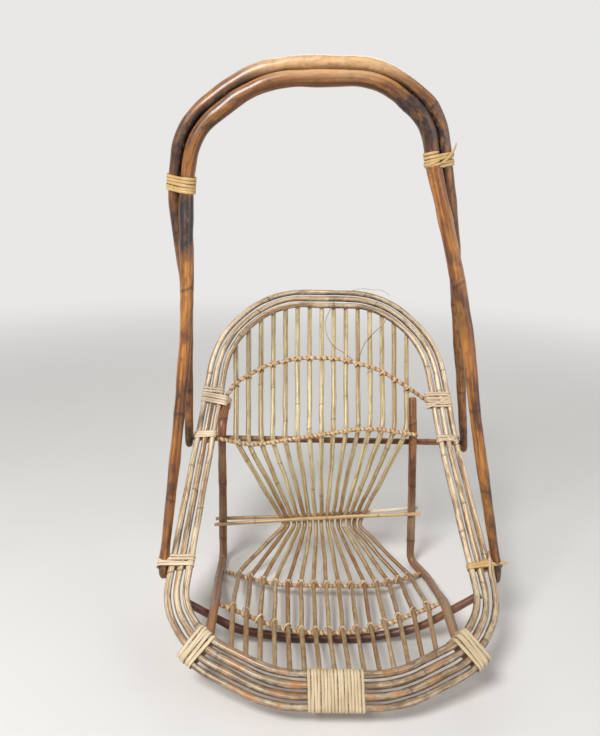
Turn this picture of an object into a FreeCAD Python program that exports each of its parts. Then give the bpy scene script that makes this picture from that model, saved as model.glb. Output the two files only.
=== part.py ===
import FreeCAD
import Part
import math
import os

from FreeCAD import Vector

# Cane swing chair: a closed three-cane rim carries a laced spoke back and seat, and hangs in an arch of two
# bent poles. The frame is X to the sitter's left hand side seen from the front, Y to the back and Z up, and
# the origin lies on the floor under the middle of the whole piece.

# Driving dimensions
overall_height = 1245.0
seat_half_width = 330.0
seat_depth = 640.0

# Diameters of the canes and poles
hanger_pole_diameter = 31.0
rim_cane_diameter = 15.5
under_cane_diameter = 14.0
rail_diameter = 21.0
cross_pole_diameter = 19.0
crossbar_diameter = 16.0
spoke_diameter = 10.0
rib_diameter = 9.5
waist_bar_diameter = 9.0

# Binding strip, the space between the canes of the rim, and the clearance between pieces that touch
strip_width = 6.5
wide_strip_width = 9.5
strip_thickness = 2.0
strip_spacing = 1.4
climb_lead_share = 0.08
contact_gap = 0.3
rib_bedding = 0.9
rail_top_gap = 1.5
rail_arm_gap = 3.0
rim_gap = 3.9
butt_gap = 0.6
shortest_run = 0.1
sampling_step = 4.0

# Counts
spoke_count = 15
pole_sides = 8
cane_sides = 6
thin_sides = 5
tie_turns = 4
upper_turns = 5
arm_turns = 2
leg_turns = 2
corner_turns = 3
front_turns = 10

# Half of the rim, from the top of the back down one arm to the front. Each corner of its middle cane is given
# as shares of the half width, depth and height, with the slope in degrees of the band after that corner.
rim_half_shares = [
    (0.460, 0.566, 0.5560, 55.0),
    (0.862, 0.450, 0.4680, 55.0),
    (0.958, 0.228, 0.2930, 32.0),
    (1.024, -0.352, 0.1100, 35.0),
    (0.840, -0.489, 0.0850, 40.0),
    (0.360, -0.592, 0.0580, 45.0),
]
back_band_slope = 55.0
rim_bend_shares = [0.48, 0.45, 0.20, 0.42, 0.46, 0.46]

# Crown of the hanger arch, left to right, as shares of half width and height. The arch leans a little to the
# left, as the bender left it. The front pole is the inner one and the rear pole lies outside and behind it.
crown_shares = [
    (-0.985, 0.790),
    (-0.925, 0.8795),
    (-0.520, 0.961),
    (0.207, 0.967),
    (0.510, 0.904),
    (0.565, 0.835),
]
crown_depth_share = 0.012
tie_height_shares = (0.797, 0.846)

# Corners of the legs below the crown as shares of half width, depth and height, from the foot up
front_leg_left_shares = [(-1.020, -0.175, 0.400), (-0.970, -0.090, 0.580)]
front_leg_right_shares = [(0.900, -0.170, 0.430), (0.830, -0.110, 0.570), (0.680, -0.045, 0.730)]
rear_leg_left_shares = [(-1.030, 0.110, 0.600)]
rear_leg_right_shares = [(0.820, 0.095, 0.660)]
pole_bend_share = 0.46
front_foot_drop_share = 0.030
front_foot_reach_share = 0.016
rear_foot_drop_share = 0.022
crossbar_end_shares = (-1.110, 1.120)

# Places of the lashings along the rim: the run of the rim that each lies on and its share of that run
upper_lashing_share = 0.60
leg_lashing_share = 0.790

# The two bent rails, upright behind the sitter and then forward under the seat. Each corner is a share of
# half width, depth and height above the floor.
rail_heel_share = 0.737
rail_upright_share = 0.668
rail_free_top_shares = (0.655, 0.242, 0.386)
rail_floor_shares = (0.830, 0.090)
rail_cross_share = 0.775
rail_bend_shares = [0.25, 0.25, 0.40, 0.10]
rail_top_angle = 35.0
rib_end_angle = 15.0
rail_shoulder_share = 0.034

# Cross pole under the seat: half width, depth and height above its own rest on the floor
cross_pole_shares = [
    (-0.950, -0.323, 0.092),
    (-0.620, -0.298, 0.026),
    (-0.280, -0.275, 0.000),
    (0.250, -0.272, 0.000),
    (0.620, -0.275, 0.026),
    (1.000, -0.289, 0.104),
]
cross_bend_share = 0.30

# Ribs that carry the spokes
upper_rib_shares = [(0.69, 0.388), (0.45, 0.422), (0.15, 0.438)]
middle_rib_shares = [(-0.827, 0.297), (-0.600, 0.282), (0.300, 0.3265), (0.668, 0.3125)]
rear_rib_shares = (0.40, -0.045, 0.034)
rear_rib_end_share = 0.110
rib_bend_share = 0.35

# Spokes: how far the outermost one stands from the middle at each level, and the waist
spoke_top_share = 0.712
spoke_middle_share = 0.661
spoke_waist_share = 0.300
spoke_top_shift_share = -0.045
spoke_middle_shift_share = -0.049
spoke_waist_shift_share = -0.020
spoke_rear_share = 0.665
spoke_seat_share = 0.660
spoke_front_share = 0.630
waist_height_share = 0.094
waist_bar_height_shares = {-1: 0.0965, 1: 0.1310}
waist_bar_overhang_share = 0.035
spoke_bend_shares = [0.10, 0.09, 0.06, 0.06]


# Directions
along_x = Vector(1, 0, 0)
back = Vector(0, 1, 0)
up = Vector(0, 0, 1)

hanger_radius = hanger_pole_diameter / 2
rim_radius = rim_cane_diameter / 2
under_radius = under_cane_diameter / 2
rail_radius = rail_diameter / 2
cross_radius = cross_pole_diameter / 2
crossbar_radius = crossbar_diameter / 2
spoke_radius = spoke_diameter / 2
rib_radius = rib_diameter / 2
waist_radius = waist_bar_diameter / 2
rim_pitch = rim_cane_diameter + rim_gap


def place(x_share, y_share, z_share):
    """A point from shares of half width, depth and height."""
    return Vector(x_share * seat_half_width, y_share * seat_depth, z_share * overall_height)


def mirror(point):
    return Vector(-point.x, point.y, point.z)


def unit(vector):
    return vector * (1 / vector.Length)


def between(start, end, share):
    return start + (end - start) * share


def bend_radii(corners, shares):
    """Radius at each inner corner, whose tangents take a share of the shorter run beside it."""
    radii = []
    for i in range(1, len(corners) - 1):
        run_in = corners[i] - corners[i - 1]
        run_out = corners[i + 1] - corners[i]
        half_turn = run_in.getAngle(run_out) / 2
        tangent = shares[i - 1] * min(run_in.Length, run_out.Length)
        radii.append(tangent / math.tan(max(half_turn, 1e-6)))
    return radii


def arc_or_line(start, corner, end):
    """The arc that is tangent to both runs at a corner, or a line where there is no turn."""
    chord_middle = between(start, end, 0.5)
    rise = corner - chord_middle
    half_chord = (end - start).Length / 2
    angle = math.atan2(rise.Length, half_chord)
    if angle < 1e-3:
        return Part.LineSegment(start, end).toShape()
    top = chord_middle + unit(rise) * (half_chord * math.tan(angle / 2))
    return Part.Arc(start, top, end).toShape()


def bent_edges(corners, radii):
    """Straight runs joined by tangent arcs."""
    edges = []
    start = corners[0]
    for i in range(1, len(corners) - 1):
        inward = unit(corners[i - 1] - corners[i])
        onward = unit(corners[i + 1] - corners[i])
        half_turn = (math.pi - inward.getAngle(onward)) / 2
        tangent = radii[i - 1] * math.tan(half_turn)
        if half_turn < 1e-3:
            continue
        arc_start = corners[i] + inward * tangent
        arc_end = corners[i] + onward * tangent
        if (arc_start - start).Length > shortest_run:
            edges.append(Part.LineSegment(start, arc_start).toShape())
        else:
            arc_start = start
        edges.append(arc_or_line(arc_start, corners[i], arc_end))
        start = arc_end
    if (corners[-1] - start).Length > shortest_run:
        edges.append(Part.LineSegment(start, corners[-1]).toShape())
    return edges


def many_sided(centre, normal, radius, sides, toward):
    """A regular outline inside a round cane's own, with a corner on the side towards a direction."""
    across = unit(toward - normal * toward.dot(normal)) * radius
    over = normal.cross(across)
    points = []
    for i in range(sides):
        angle = 2 * math.pi * i / sides
        points.append(centre + across * math.cos(angle) + over * math.sin(angle))
    return Part.makePolygon(points + [points[0]])


def cane(corners, radii, radius, sides, toward=Vector(0, 1, 0)):
    """A cane of one section along straight runs and arcs."""
    edges = bent_edges(corners, radii)
    outline = many_sided(corners[0], unit(corners[1] - corners[0]), radius, sides, toward)
    return Part.Wire(edges).makePipeShell([outline], True, False)


def bent_cane(corners, share, radius, sides):
    """A cane whose corners all bend over the same share of their runs."""
    return cane(corners, bend_radii(corners, [share] * (len(corners) - 2)), radius, sides)


def path_points(corners, radii, step):
    """Points along a bent path, for the pieces that lie against it."""
    points = []
    for edge in bent_edges(corners, radii):
        count = max(2, int(edge.Length / step) + 2)
        points.extend(edge.discretize(Number=count))
    return points


def point_at_x(points, x):
    """The point where a path that runs across the chair passes a given x."""
    for start, end in zip(points, points[1:]):
        if min(start.x, end.x) <= x <= max(start.x, end.x) and abs(end.x - start.x) > 0:
            return between(start, end, (x - start.x) / (end.x - start.x))
    return points[0] if abs(points[0].x - x) < abs(points[-1].x - x) else points[-1]


def seat_normal(slope):
    """The way the band faces, towards the sitter, where its slope is given in degrees."""
    return Vector(0, -math.sin(math.radians(slope)), math.cos(math.radians(slope)))


# Rim

def rim_runs():
    """Corners of the middle cane all round, with the outward direction and facing of each run after them."""
    half = [place(x, y, z) for x, y, z, _ in rim_half_shares]
    slopes = [slope for _, _, _, slope in rim_half_shares]
    corners = half + [mirror(point) for point in reversed(half)]
    run_slopes = slopes + slopes[-2::-1] + [back_band_slope]
    outward = []
    for i, corner in enumerate(corners):
        along = unit(corners[(i + 1) % len(corners)] - corner)
        outward.append(unit(seat_normal(run_slopes[i]).cross(along)))
    return corners, outward, run_slopes


rim_corners, rim_outward, rim_slopes = rim_runs()
front_run = len(rim_half_shares) - 1


def offset_corner(i, distance):
    """A corner of the rim moved outward, mitred between the two runs that meet there."""
    before = rim_outward[i - 1]
    after = rim_outward[i]
    return rim_corners[i] + (before + after) * (distance / (1 + before.dot(after)))


def rim_path(distance):
    """Corners and radii of a rim cane at a distance outside the middle one, from the front all round."""
    order = [(front_run + 1 + k) % len(rim_corners) for k in range(len(rim_corners))]
    middle_start = between(rim_corners[front_run], rim_corners[front_run + 1], 0.5)
    start = middle_start + rim_outward[front_run] * distance
    middle = [middle_start] + [rim_corners[i] for i in order] + [middle_start]
    half_shares = rim_bend_shares[::-1]
    radii = bend_radii(middle, half_shares + half_shares[::-1])
    shift = unit(rim_corners[front_run + 1] - rim_corners[front_run]) * (butt_gap / 2)
    corners = [start + shift] + [offset_corner(i, distance) for i in order] + [start - shift]
    return corners, [radius + distance for radius in radii]


def rim_station(run, share, side):
    """Place on a run of the middle cane, with the directions along, outward and towards the sitter."""
    start = rim_corners[run]
    end = rim_corners[run + 1]
    frame = (between(start, end, share), unit(end - start), rim_outward[run])
    return sided(frame, side)


def bend_station(corner, side):
    """Place in the middle of the bend at a corner of the middle cane, with the same directions."""
    middle = rim_corners[corner]
    runs = [middle - rim_corners[corner - 1], rim_corners[corner + 1] - middle]
    before, after = unit(runs[0]), unit(runs[1])
    half_turn = before.getAngle(after) / 2
    inset = rim_bend_shares[corner] * min(runs[0].Length, runs[1].Length) * math.tan(half_turn / 2)
    outward = unit(rim_outward[corner - 1] + rim_outward[corner])
    frame = (middle + unit(after - before) * inset, unit(before + after), outward)
    return sided(frame, side)


def sided(frame, side):
    """A place and its directions, completed with the facing one and mirrored for the left hand side."""
    point, along, outward = frame
    facing = unit(along.cross(outward))
    if side < 0:
        return tuple(mirror(vector) for vector in (point, along, outward, facing))
    return point, along, outward, facing


inner_corners, inner_radii = rim_path(-rim_pitch)
middle_corners, middle_radii = rim_path(0)
outer_corners, outer_radii = rim_path(rim_pitch)
under_offset = rim_pitch + rim_radius + under_radius + rim_gap
under_corners, under_radii = rim_path(under_offset)
inner_points = path_points(inner_corners, inner_radii, sampling_step)

upper_run = 1
arm_run = 2
arm_bend = 2
front_bend = 4
sides = (-1, 1)
upper_stations = {side: rim_station(upper_run, upper_lashing_share, side) for side in sides}
mid_stations = {side: bend_station(arm_bend, side) for side in sides}
leg_stations = {side: rim_station(arm_run, leg_lashing_share, side) for side in sides}
front_corner_stations = {side: bend_station(front_bend, side) for side in sides}


def rim_canes():
    """The inner and middle canes run all round; the outer one is pieced at the right leg lashing."""
    point, along, outward, _ = leg_stations[1]
    splice = point + outward * rim_pitch
    last = 2 * len(rim_half_shares) - 3
    before_splice = outer_corners[:last + 1] + [splice - along * (butt_gap / 2)]
    facing = rim_outward[front_run]
    after_splice = [splice + along * (butt_gap / 2)] + outer_corners[last + 1:]
    return {
        "rim_cane_inner": cane(inner_corners, inner_radii, rim_radius, cane_sides, facing),
        "rim_cane_middle": cane(middle_corners, middle_radii, rim_radius, cane_sides, facing),
        "rim_cane_outer": cane(before_splice, outer_radii[:last], rim_radius, cane_sides, facing),
        "rim_cane_outer_front": cane(after_splice, outer_radii[last:], rim_radius, cane_sides, outward),
    }


def under_canes():
    """Two short canes that stiffen the front below the rim, from the front wrap to the corner lashings."""
    parts = {}
    ways = {
        "front_under_cane_left": (under_corners[:4], under_radii[:2]),
        "front_under_cane_right": (under_corners[:-5:-1], under_radii[:-3:-1]),
    }
    for name, (corners, radii) in ways.items():
        edges = bent_edges(corners, radii)[:-1]
        last = edges.pop()
        first_parameter, last_parameter = last.ParameterRange
        half_way = (first_parameter + last_parameter) / 2
        edges.append(last.Curve.toShape(first_parameter, half_way))
        along = unit(corners[1] - corners[0])
        outline = many_sided(corners[0], along, under_radius, cane_sides, rim_outward[front_run])
        parts[name] = Part.Wire(edges).makePipeShell([outline], True, False)
    return parts


# Cross bar behind the arms

strip_wall = strip_thickness + 2 * contact_gap
bar_back = rim_radius + strip_wall + crossbar_radius
crossbar_seats = {side: mid_stations[side][0] - mid_stations[side][3] * bar_back for side in sides}


def crossbar_point(x):
    """The middle of the cross bar at a given x."""
    left, right = crossbar_seats[-1], crossbar_seats[1]
    return between(left, right, (x - left.x) / (right.x - left.x))


def back_crossbar():
    ends = [crossbar_point(share * seat_half_width) for share in crossbar_end_shares]
    return cane(ends, [], crossbar_radius, cane_sides)


# Hanger

def front_foot(side):
    """Where a front leg passes the outside of the arm, and its foot a little below and in front of that."""
    point, _, outward, _ = leg_stations[side]
    seat = point + outward * (rim_pitch + rim_radius + contact_gap + hanger_radius)
    foot = seat + place(0, -front_foot_reach_share, -front_foot_drop_share)
    return [foot, seat]


def rear_foot(side):
    """Where a rear leg stands in front of the cross bar, outside the arm, and its rounded end just below."""
    point, _, outward, _ = mid_stations[side]
    beside = point + outward * (rim_pitch + rim_radius + strip_wall + hanger_radius)
    seat = crossbar_point(beside.x) - back * (crossbar_radius + hanger_radius + contact_gap)
    foot = seat + place(0, 0, -rear_foot_drop_share)
    return [foot, seat]


crown_depth = crown_depth_share * seat_depth
pole_spacing = 2 * hanger_radius + contact_gap
crown_spread = math.sqrt(pole_spacing ** 2 - (2 * crown_depth) ** 2)


def arch_offset(corners, distance):
    """Corners of an arch in the XZ plane moved outward, mitred where two runs meet."""
    normals = []
    for start, end in zip(corners, corners[1:]):
        run = unit(end - start)
        normals.append(Vector(-run.z, 0, run.x))
    moved = []
    for i, corner in enumerate(corners):
        before, after = normals[max(i - 1, 0)], normals[min(i, len(normals) - 1)]
        moved.append(corner + (before + after) * (distance / (1 + before.dot(after))))
    return moved


def leg(foot, shares):
    return foot + [place(*row) for row in shares]


front_crown = [place(x, -crown_depth_share, z) for x, z in crown_shares]
rear_crown = [point + back * (2 * crown_depth) for point in arch_offset(front_crown, crown_spread)]
front_pole_corners = (leg(front_foot(-1), front_leg_left_shares) + front_crown
                      + leg(front_foot(1), front_leg_right_shares)[::-1])
rear_pole_corners = (leg(rear_foot(-1), rear_leg_left_shares) + rear_crown
                     + leg(rear_foot(1), rear_leg_right_shares)[::-1])
front_pole_radii = bend_radii(front_pole_corners, [pole_bend_share] * (len(front_pole_corners) - 2))
rear_pole_radii = bend_radii(rear_pole_corners, [pole_bend_share] * (len(rear_pole_corners) - 2))


def match_crown_bends():
    """The rear pole bends round the front one, so that the two touch all along the crown."""
    first_front = 2 + len(front_leg_left_shares)
    first_rear = 2 + len(rear_leg_left_shares)
    for i in range(1, len(crown_shares) - 1):
        rear_pole_radii[first_rear + i - 1] = front_pole_radii[first_front + i - 1] + crown_spread


match_crown_bends()


def hanger_poles():
    return {
        "hanger_pole_front": cane(front_pole_corners, front_pole_radii, hanger_radius, pole_sides),
        "hanger_pole_rear": cane(rear_pole_corners, rear_pole_radii, hanger_radius, pole_sides),
    }


# Rails and cross pole under the seat

cross_corners = [place(x, y, z) + up * cross_radius for x, y, z in cross_pole_shares]
cross_radii = bend_radii(cross_corners, [cross_bend_share] * (len(cross_corners) - 2))
cross_points = path_points(cross_corners, cross_radii, sampling_step)


def rail_corners(side):
    """The rail's top, its heel on the floor and its front end below the corner.

    The left rail's top lies behind the upper lashing. The right rail ends free, above the crossbar.
    """
    point, _, outward, facing = upper_stations[side]
    lean = math.radians(rail_top_angle)
    reach = rim_radius + strip_wall + rail_radius + rail_top_gap
    top = point - outward * (rim_pitch + reach * math.cos(lean)) - facing * (reach * math.sin(lean))
    point, _, outward, _ = mid_stations[side]
    beside = point - outward * (rim_pitch + rim_radius + strip_wall + rail_radius + rail_arm_gap)
    upright_x, heel_x = beside.x, beside.x
    if side > 0:
        top = place(*rail_free_top_shares)
        upright_x, heel_x = rail_upright_share * seat_half_width, rail_heel_share * seat_half_width
    upright = crossbar_point(upright_x)
    upright = upright - back * (crossbar_radius + rail_radius + contact_gap)
    shoulder = upright + up * (rail_shoulder_share * overall_height)
    heel = Vector(heel_x, upright.y, rail_radius)
    floor_x, floor_y = rail_floor_shares
    floor_end = place(side * floor_x, floor_y, 0) + up * rail_radius
    crossing = point_at_x(cross_points, side * rail_cross_share * seat_half_width)
    pole_run = cross_corners[-1 if side > 0 else 0] - cross_corners[-2 if side > 0 else 1]
    rail_run = floor_end - crossing
    normal = unit(pole_run.cross(rail_run))
    over_cross = crossing + up * ((cross_radius + rail_radius + contact_gap) / abs(normal.z))
    point, _, outward, facing = front_corner_stations[side]
    front = point - outward * rim_pitch - facing * (rim_radius + strip_wall + rail_radius)
    return [top, shoulder, heel, floor_end, over_cross, front]


rails = {side: rail_corners(side) for side in sides}
rail_radii = {side: bend_radii(rails[side], rail_bend_shares) for side in sides}
rail_points = {side: path_points(rails[side], rail_radii[side], sampling_step) for side in sides}


def seat_rails():
    return {name: cane(rails[side], rail_radii[side], rail_radius, cane_sides)
            for name, side in (("seat_rail_left", -1), ("seat_rail_right", 1))}


def seat_cross_pole():
    return cane(cross_corners, cross_radii, cross_radius, cane_sides, up)


# Ribs

spoke_on_rib = spoke_radius + rib_radius + contact_gap


def rail_at_y(side, y):
    """The middle of a rail's seat stretch at a given y."""
    points = rail_points[side]
    for start, end in zip(points, points[1:]):
        if start.z < crossbar_seats[side].z / 2 and end.y <= y <= start.y and start.y > end.y:
            return between(start, end, (start.y - y) / (start.y - end.y))
    return points[-1]


def middle_rib_corners():
    """A rib across the fronts of the rails, which sags on the left and rises on the right."""
    ahead = back * (rails[1][2].y - rail_radius - rib_radius - contact_gap)
    corners = [place(x, 0, z) + ahead for x, z in middle_rib_shares]
    corners[0].x = rails[-1][2].x
    corners[0] = corners[0] - along_x * rail_radius
    corners[-1] = corners[-1] + along_x * rail_radius
    return corners


def rib_end(side, y):
    """Where a seat rib butts against the inner side of a rail."""
    return rail_at_y(side, y) - along_x * (side * (rail_radius + butt_gap))


def rear_rib_corners():
    """A rib that sags under the seat from rail to rail."""
    dip = place(*rear_rib_shares)
    end_y = rear_rib_end_share * seat_depth
    return [rib_end(-1, end_y), mirror(dip), dip, rib_end(1, end_y)]


def front_rib_corners():
    """A rib that lies on the cross pole and butts against both rails."""
    lift = up * (cross_radius + rib_radius + contact_gap)
    inner = [corner + lift for corner in cross_corners[2:4]]
    return [rib_end(-1, inner[0].y)] + inner + [rib_end(1, inner[1].y)]


def rib_course(corners):
    """A rib's corners, its radii and points along it."""
    radii = bend_radii(corners, [rib_bend_share] * (len(corners) - 2))
    return corners, radii, path_points(corners, radii, sampling_step)


rib_courses = {
    "middle_back_rib": rib_course(middle_rib_corners()),
    "rear_seat_rib": rib_course(rear_rib_corners()),
    "front_seat_rib": rib_course(front_rib_corners()),
}
rib_points = {name: points for name, (_, _, points) in rib_courses.items()}
inner_back = [point for point in inner_points if point.z > crossbar_seats[1].z]


def waist_corner(place_share):
    """Where a spoke bends at the waist."""
    x_share = place_share * spoke_waist_share + spoke_waist_shift_share
    return place(x_share, 0, waist_height_share) + back * rails[1][2].y


def middle_corner(place_share, top):
    """Where a spoke bends behind the middle rib. The corner stands before its arc, which touches the rib."""
    x = (place_share * spoke_middle_share + spoke_middle_shift_share) * seat_half_width
    corner = point_at_x(rib_points["middle_back_rib"], x) + back * (spoke_on_rib - rib_bedding)
    run_in, run_out = corner - top, waist_corner(place_share) - corner
    tangent = spoke_bend_shares[0] * min(run_in.Length, run_out.Length)
    inward = unit(unit(run_out) - unit(run_in))
    return corner - back * (inward.y * tangent * math.tan(run_in.getAngle(run_out) / 4))


def back_sheet(x, z):
    """The middle of the sheet of spokes in the back at a given x and height, and the way that it faces."""
    share = (x / seat_half_width - spoke_top_shift_share) / spoke_top_share
    top = point_at_x(inner_back, x)
    top = top - seat_normal(back_band_slope) * (rim_radius + spoke_radius + contact_gap)
    middle = middle_corner(share, top)
    run = top - middle
    facing = unit(Vector(0, -run.z, run.y))
    return between(middle, top, (z - middle.z) / run.z), facing


def upper_rib_corners():
    """An arch in front of the spokes, from one upper lashing to the other."""
    lean = math.radians(rib_end_angle)
    reach = rim_radius + strip_wall + rib_radius
    ends = {}
    for side in sides:
        point, _, outward, facing = upper_stations[side]
        beside = point - outward * (rim_pitch + reach * math.cos(lean))
        ends[side] = beside + facing * (reach * math.sin(lean))
    rows = {side: [] for side in sides}
    for side in sides:
        for x_share, z_share in upper_rib_shares:
            x = (side * x_share + spoke_top_shift_share) * seat_half_width
            middle, facing = back_sheet(x, z_share * overall_height)
            rows[side].append(Vector(x, middle.y, middle.z) + facing * spoke_on_rib)
    return [ends[-1]] + rows[-1] + rows[1][::-1] + [ends[1]]


rib_courses["upper_back_rib"] = rib_course(upper_rib_corners())


def ribs():
    return {name: cane(corners, radii, rib_radius, thin_sides)
            for name, (corners, radii, _) in rib_courses.items()}


# Spokes

front_wrap_half = front_turns * (wide_strip_width + strip_spacing) / 2


inner_front = [point for point in inner_points
               if point.z < crossbar_seats[1].z and point.y < rim_corners[arm_run + 1].y]
inner_front.sort(key=lambda point: point.x)


def over_rib(name, x):
    """Where a spoke passes over a seat rib at a given x, clear of it also where the rib slopes."""
    left, right = (point_at_x(rib_points[name], x + side * spoke_radius) for side in sides)
    slope = (right.z - left.z) / (right.x - left.x)
    return between(left, right, 0.5) + up * (spoke_on_rib * math.hypot(1, slope))


def spoke_corners(i):
    """A spoke's course: behind the top of the rim, behind two ribs, through the waist and over two ribs."""
    place_share = 2 * i / (spoke_count - 1) - 1
    facing = seat_normal(back_band_slope)
    top = point_at_x(inner_back, (place_share * spoke_top_share + spoke_top_shift_share) * seat_half_width)
    top = top - facing * (rim_radius + spoke_radius + contact_gap)
    middle, waist = middle_corner(place_share, top), waist_corner(place_share)
    rear = over_rib("rear_seat_rib", place_share * spoke_rear_share * seat_half_width)
    front = over_rib("front_seat_rib", place_share * spoke_seat_share * seat_half_width)
    end = point_at_x(inner_front, place_share * spoke_front_share * seat_half_width)
    under = rim_radius + spoke_radius + contact_gap
    if abs(end.x) < front_wrap_half + spoke_radius:
        under += strip_wall
    end = end - seat_normal(rim_slopes[front_run]) * under
    return [top, middle, waist, rear, front, end]


spoke_courses = [spoke_corners(i) for i in range(spoke_count)]


def spokes():
    parts = {}
    for i, corners in enumerate(spoke_courses):
        radii = bend_radii(corners, spoke_bend_shares)
        parts["spoke_%02d" % (i + 1)] = cane(corners, radii, spoke_radius, thin_sides)
    return parts


# Waist bars

def waist_bars():
    """Two thin bars that pinch the spokes at the waist, before and behind the rails, higher on the right."""
    mean_share = sum(waist_bar_height_shares.values()) / len(sides)
    overhang = waist_bar_overhang_share * seat_half_width
    by_rail = rail_radius + waist_radius + contact_gap
    by_spoke = spoke_radius + waist_radius + contact_gap
    parts = {}
    for name, way in (("waist_bar_front", -1), ("waist_bar_rear", 1)):
        corners = []
        for side in sides:
            heel, upright = rails[side][2], rails[side][1]
            level = waist_bar_height_shares[side] * overall_height
            rail = between(heel, upright, (level - heel.z) / (upright.z - heel.z))
            tip = Vector(rail.x + side * (rail_radius + overhang), rail.y + way * by_rail, level)
            inward_share = spoke_waist_share * seat_half_width / abs(rail.x)
            rise_share = (waist_bar_height_shares[side] - mean_share) * inward_share
            near_level = (mean_share + rise_share) * overall_height
            middle, waist = spoke_courses[-1 if side > 0 else 0][1:3]
            spoke = between(waist, middle, (near_level - waist.z) / (middle.z - waist.z))
            near = Vector(spoke.x, spoke.y + way * by_spoke, near_level)
            corners.extend([tip, near] if side < 0 else [near, tip])
        parts[name] = bent_cane(corners, rib_bend_share, waist_radius, thin_sides)
    return parts


# Lashings

def belt_places(first, second):
    """Points where a strip leaves and meets two round cores in a plane, front and back, as pairs of shares.

    Each core is (outward, facing, radius). The strip's two straight stretches are tangent to both.
    """
    run_u, run_w = second[0] - first[0], second[1] - first[1]
    distance = math.hypot(run_u, run_w)
    heading = math.atan2(run_w, run_u)
    spread = math.acos((first[2] - second[2]) / distance)
    places = {}
    for name, way in (("front", 1), ("back", -1)):
        angle = heading + way * spread
        places[name] = [(core[0] + core[2] * math.cos(angle), core[1] + core[2] * math.sin(angle))
                        for core in (first, second)]
    places["far"] = (second[0] + second[2] * math.cos(heading), second[1] + second[2] * math.sin(heading))
    places["near"] = (first[0] - first[2] * math.cos(heading), first[1] - first[2] * math.sin(heading))
    return places


def climbing(start, end, heading):
    """A stretch that carries the strip sideways behind the canes, leaving and arriving straight."""
    lead = heading * ((end - start).Length * climb_lead_share)
    corners = [start, start + lead, end - lead, end]
    radius = lead.Length / math.tan(lead.getAngle(corners[2] - corners[1]) / 2)
    return bent_edges(corners, [radius, radius])


def least_gap(points, turns, width):
    """The least distance between one turn and the next, less the strip's width."""
    per_turn = len(points) // turns
    least = None
    for i, point in enumerate(points):
        for other in points[i + per_turn // 2:i + 2 * per_turn]:
            distance = (other - point).Length
            least = distance if least is None else min(least, distance)
    return least - width


def winding(name, station, cores, turns, width):
    """An unbroken flat strip round two cores, one turn beside the other, climbing on the hidden side."""
    centre, along, outward, facing = station
    wall = strip_thickness / 2 + contact_gap
    cores = [(u, w, radius + wall) for u, w, radius in cores]
    places = belt_places(*cores)
    pitch = width + strip_spacing
    first = -along * (pitch * (turns - 1) / 2)

    def at(place_pair, turn):
        u, w = place_pair
        return centre + outward * u + facing * w + first + along * (pitch * turn)

    edges = []
    for turn in range(turns):
        start, far_front = at(places["front"][0], turn), at(places["front"][1], turn)
        far_back = at(places["back"][1], turn)
        edges.append(Part.LineSegment(start, far_front).toShape())
        edges.append(Part.Arc(far_front, at(places["far"], turn), far_back).toShape())
        if turn == turns - 1:
            break
        near_back = at(places["back"][0], turn + 1)
        heading = unit(at(places["back"][0], turn) - far_back)
        edges.extend(climbing(far_back, near_back, heading))
        near_front = at(places["front"][0], turn + 1)
        edges.append(Part.Arc(near_back, at(places["near"], turn + 1), near_front).toShape())
    start = at(places["front"][0], 0)
    run = at(places["front"][1], 0) - start
    thick = unit(along.cross(run)) * (strip_thickness / 2)
    if thick.dot(facing) < 0:
        thick = -thick
    wide = along * (width / 2)
    edge_points = [start + wide - thick, start + thick, start - wide - thick]
    outline = Part.makePolygon(edge_points + edge_points[:1])
    wire = Part.Wire(edges)
    points = []
    for edge in edges:
        points.extend(edge.discretize(Number=max(3, int(edge.Length / sampling_step) + 2))[:-1])
    print("%s: %d turns, least gap %.2f mm" % (name, turns, least_gap(points, turns, width)))
    return wire.makePipeShell([outline], True, False)


def rim_cores(outer_extra=0.0, outer_radius=rim_radius):
    """The inner cane and the outermost cane as the two cores of a lashing."""
    return [(-rim_pitch, 0.0, rim_radius), (rim_pitch + outer_extra, 0.0, outer_radius)]


def pole_at(corners, radii, side, level):
    """The middle of a pole and its upward direction at a level on one side of the arch."""
    line = path_points(corners, radii, sampling_step)
    for start, end in zip(line, line[1:]):
        if min(start.z, end.z) <= level <= max(start.z, end.z) and start.z != end.z and start.x * side > 0:
            return between(start, end, (level - start.z) / (end.z - start.z)), unit(end - start)
    return line[0], up


def tie_station(side):
    """The place of a tie round both poles of the hanger, with its axis along them, and their spacing."""
    level = tie_height_shares[side > 0] * overall_height
    front_at, front_way = pole_at(front_pole_corners, front_pole_radii, side, level)
    rear_at, rear_way = pole_at(rear_pole_corners, rear_pole_radii, side, level)
    along = unit(front_way + rear_way)
    across = rear_at - front_at
    across = across - along * across.dot(along)
    station = (between(front_at, rear_at, 0.5), along, unit(across), unit(along.cross(across)))
    return station, across.Length, front_way.getAngle(rear_way) / 2


def leg_station(side):
    """The place of a leg lashing, with its axis between those of the arm and of the leg that crosses it."""
    point, along, outward, facing = leg_stations[side]
    foot, _, above = (front_pole_corners if side < 0 else front_pole_corners[::-1])[:3]
    leg_way = unit(foot - above)
    axis = unit(along + leg_way)
    turned = unit(facing - axis * facing.dot(axis))
    return (point, axis, outward, turned), along.getAngle(leg_way) / 2


def winding_slack(turns, half_angle):
    """What a lashing round two canes that cross at an angle stands off them at its outer turns."""
    return turns * (strip_width + strip_spacing) / 2 * math.tan(half_angle)


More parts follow.
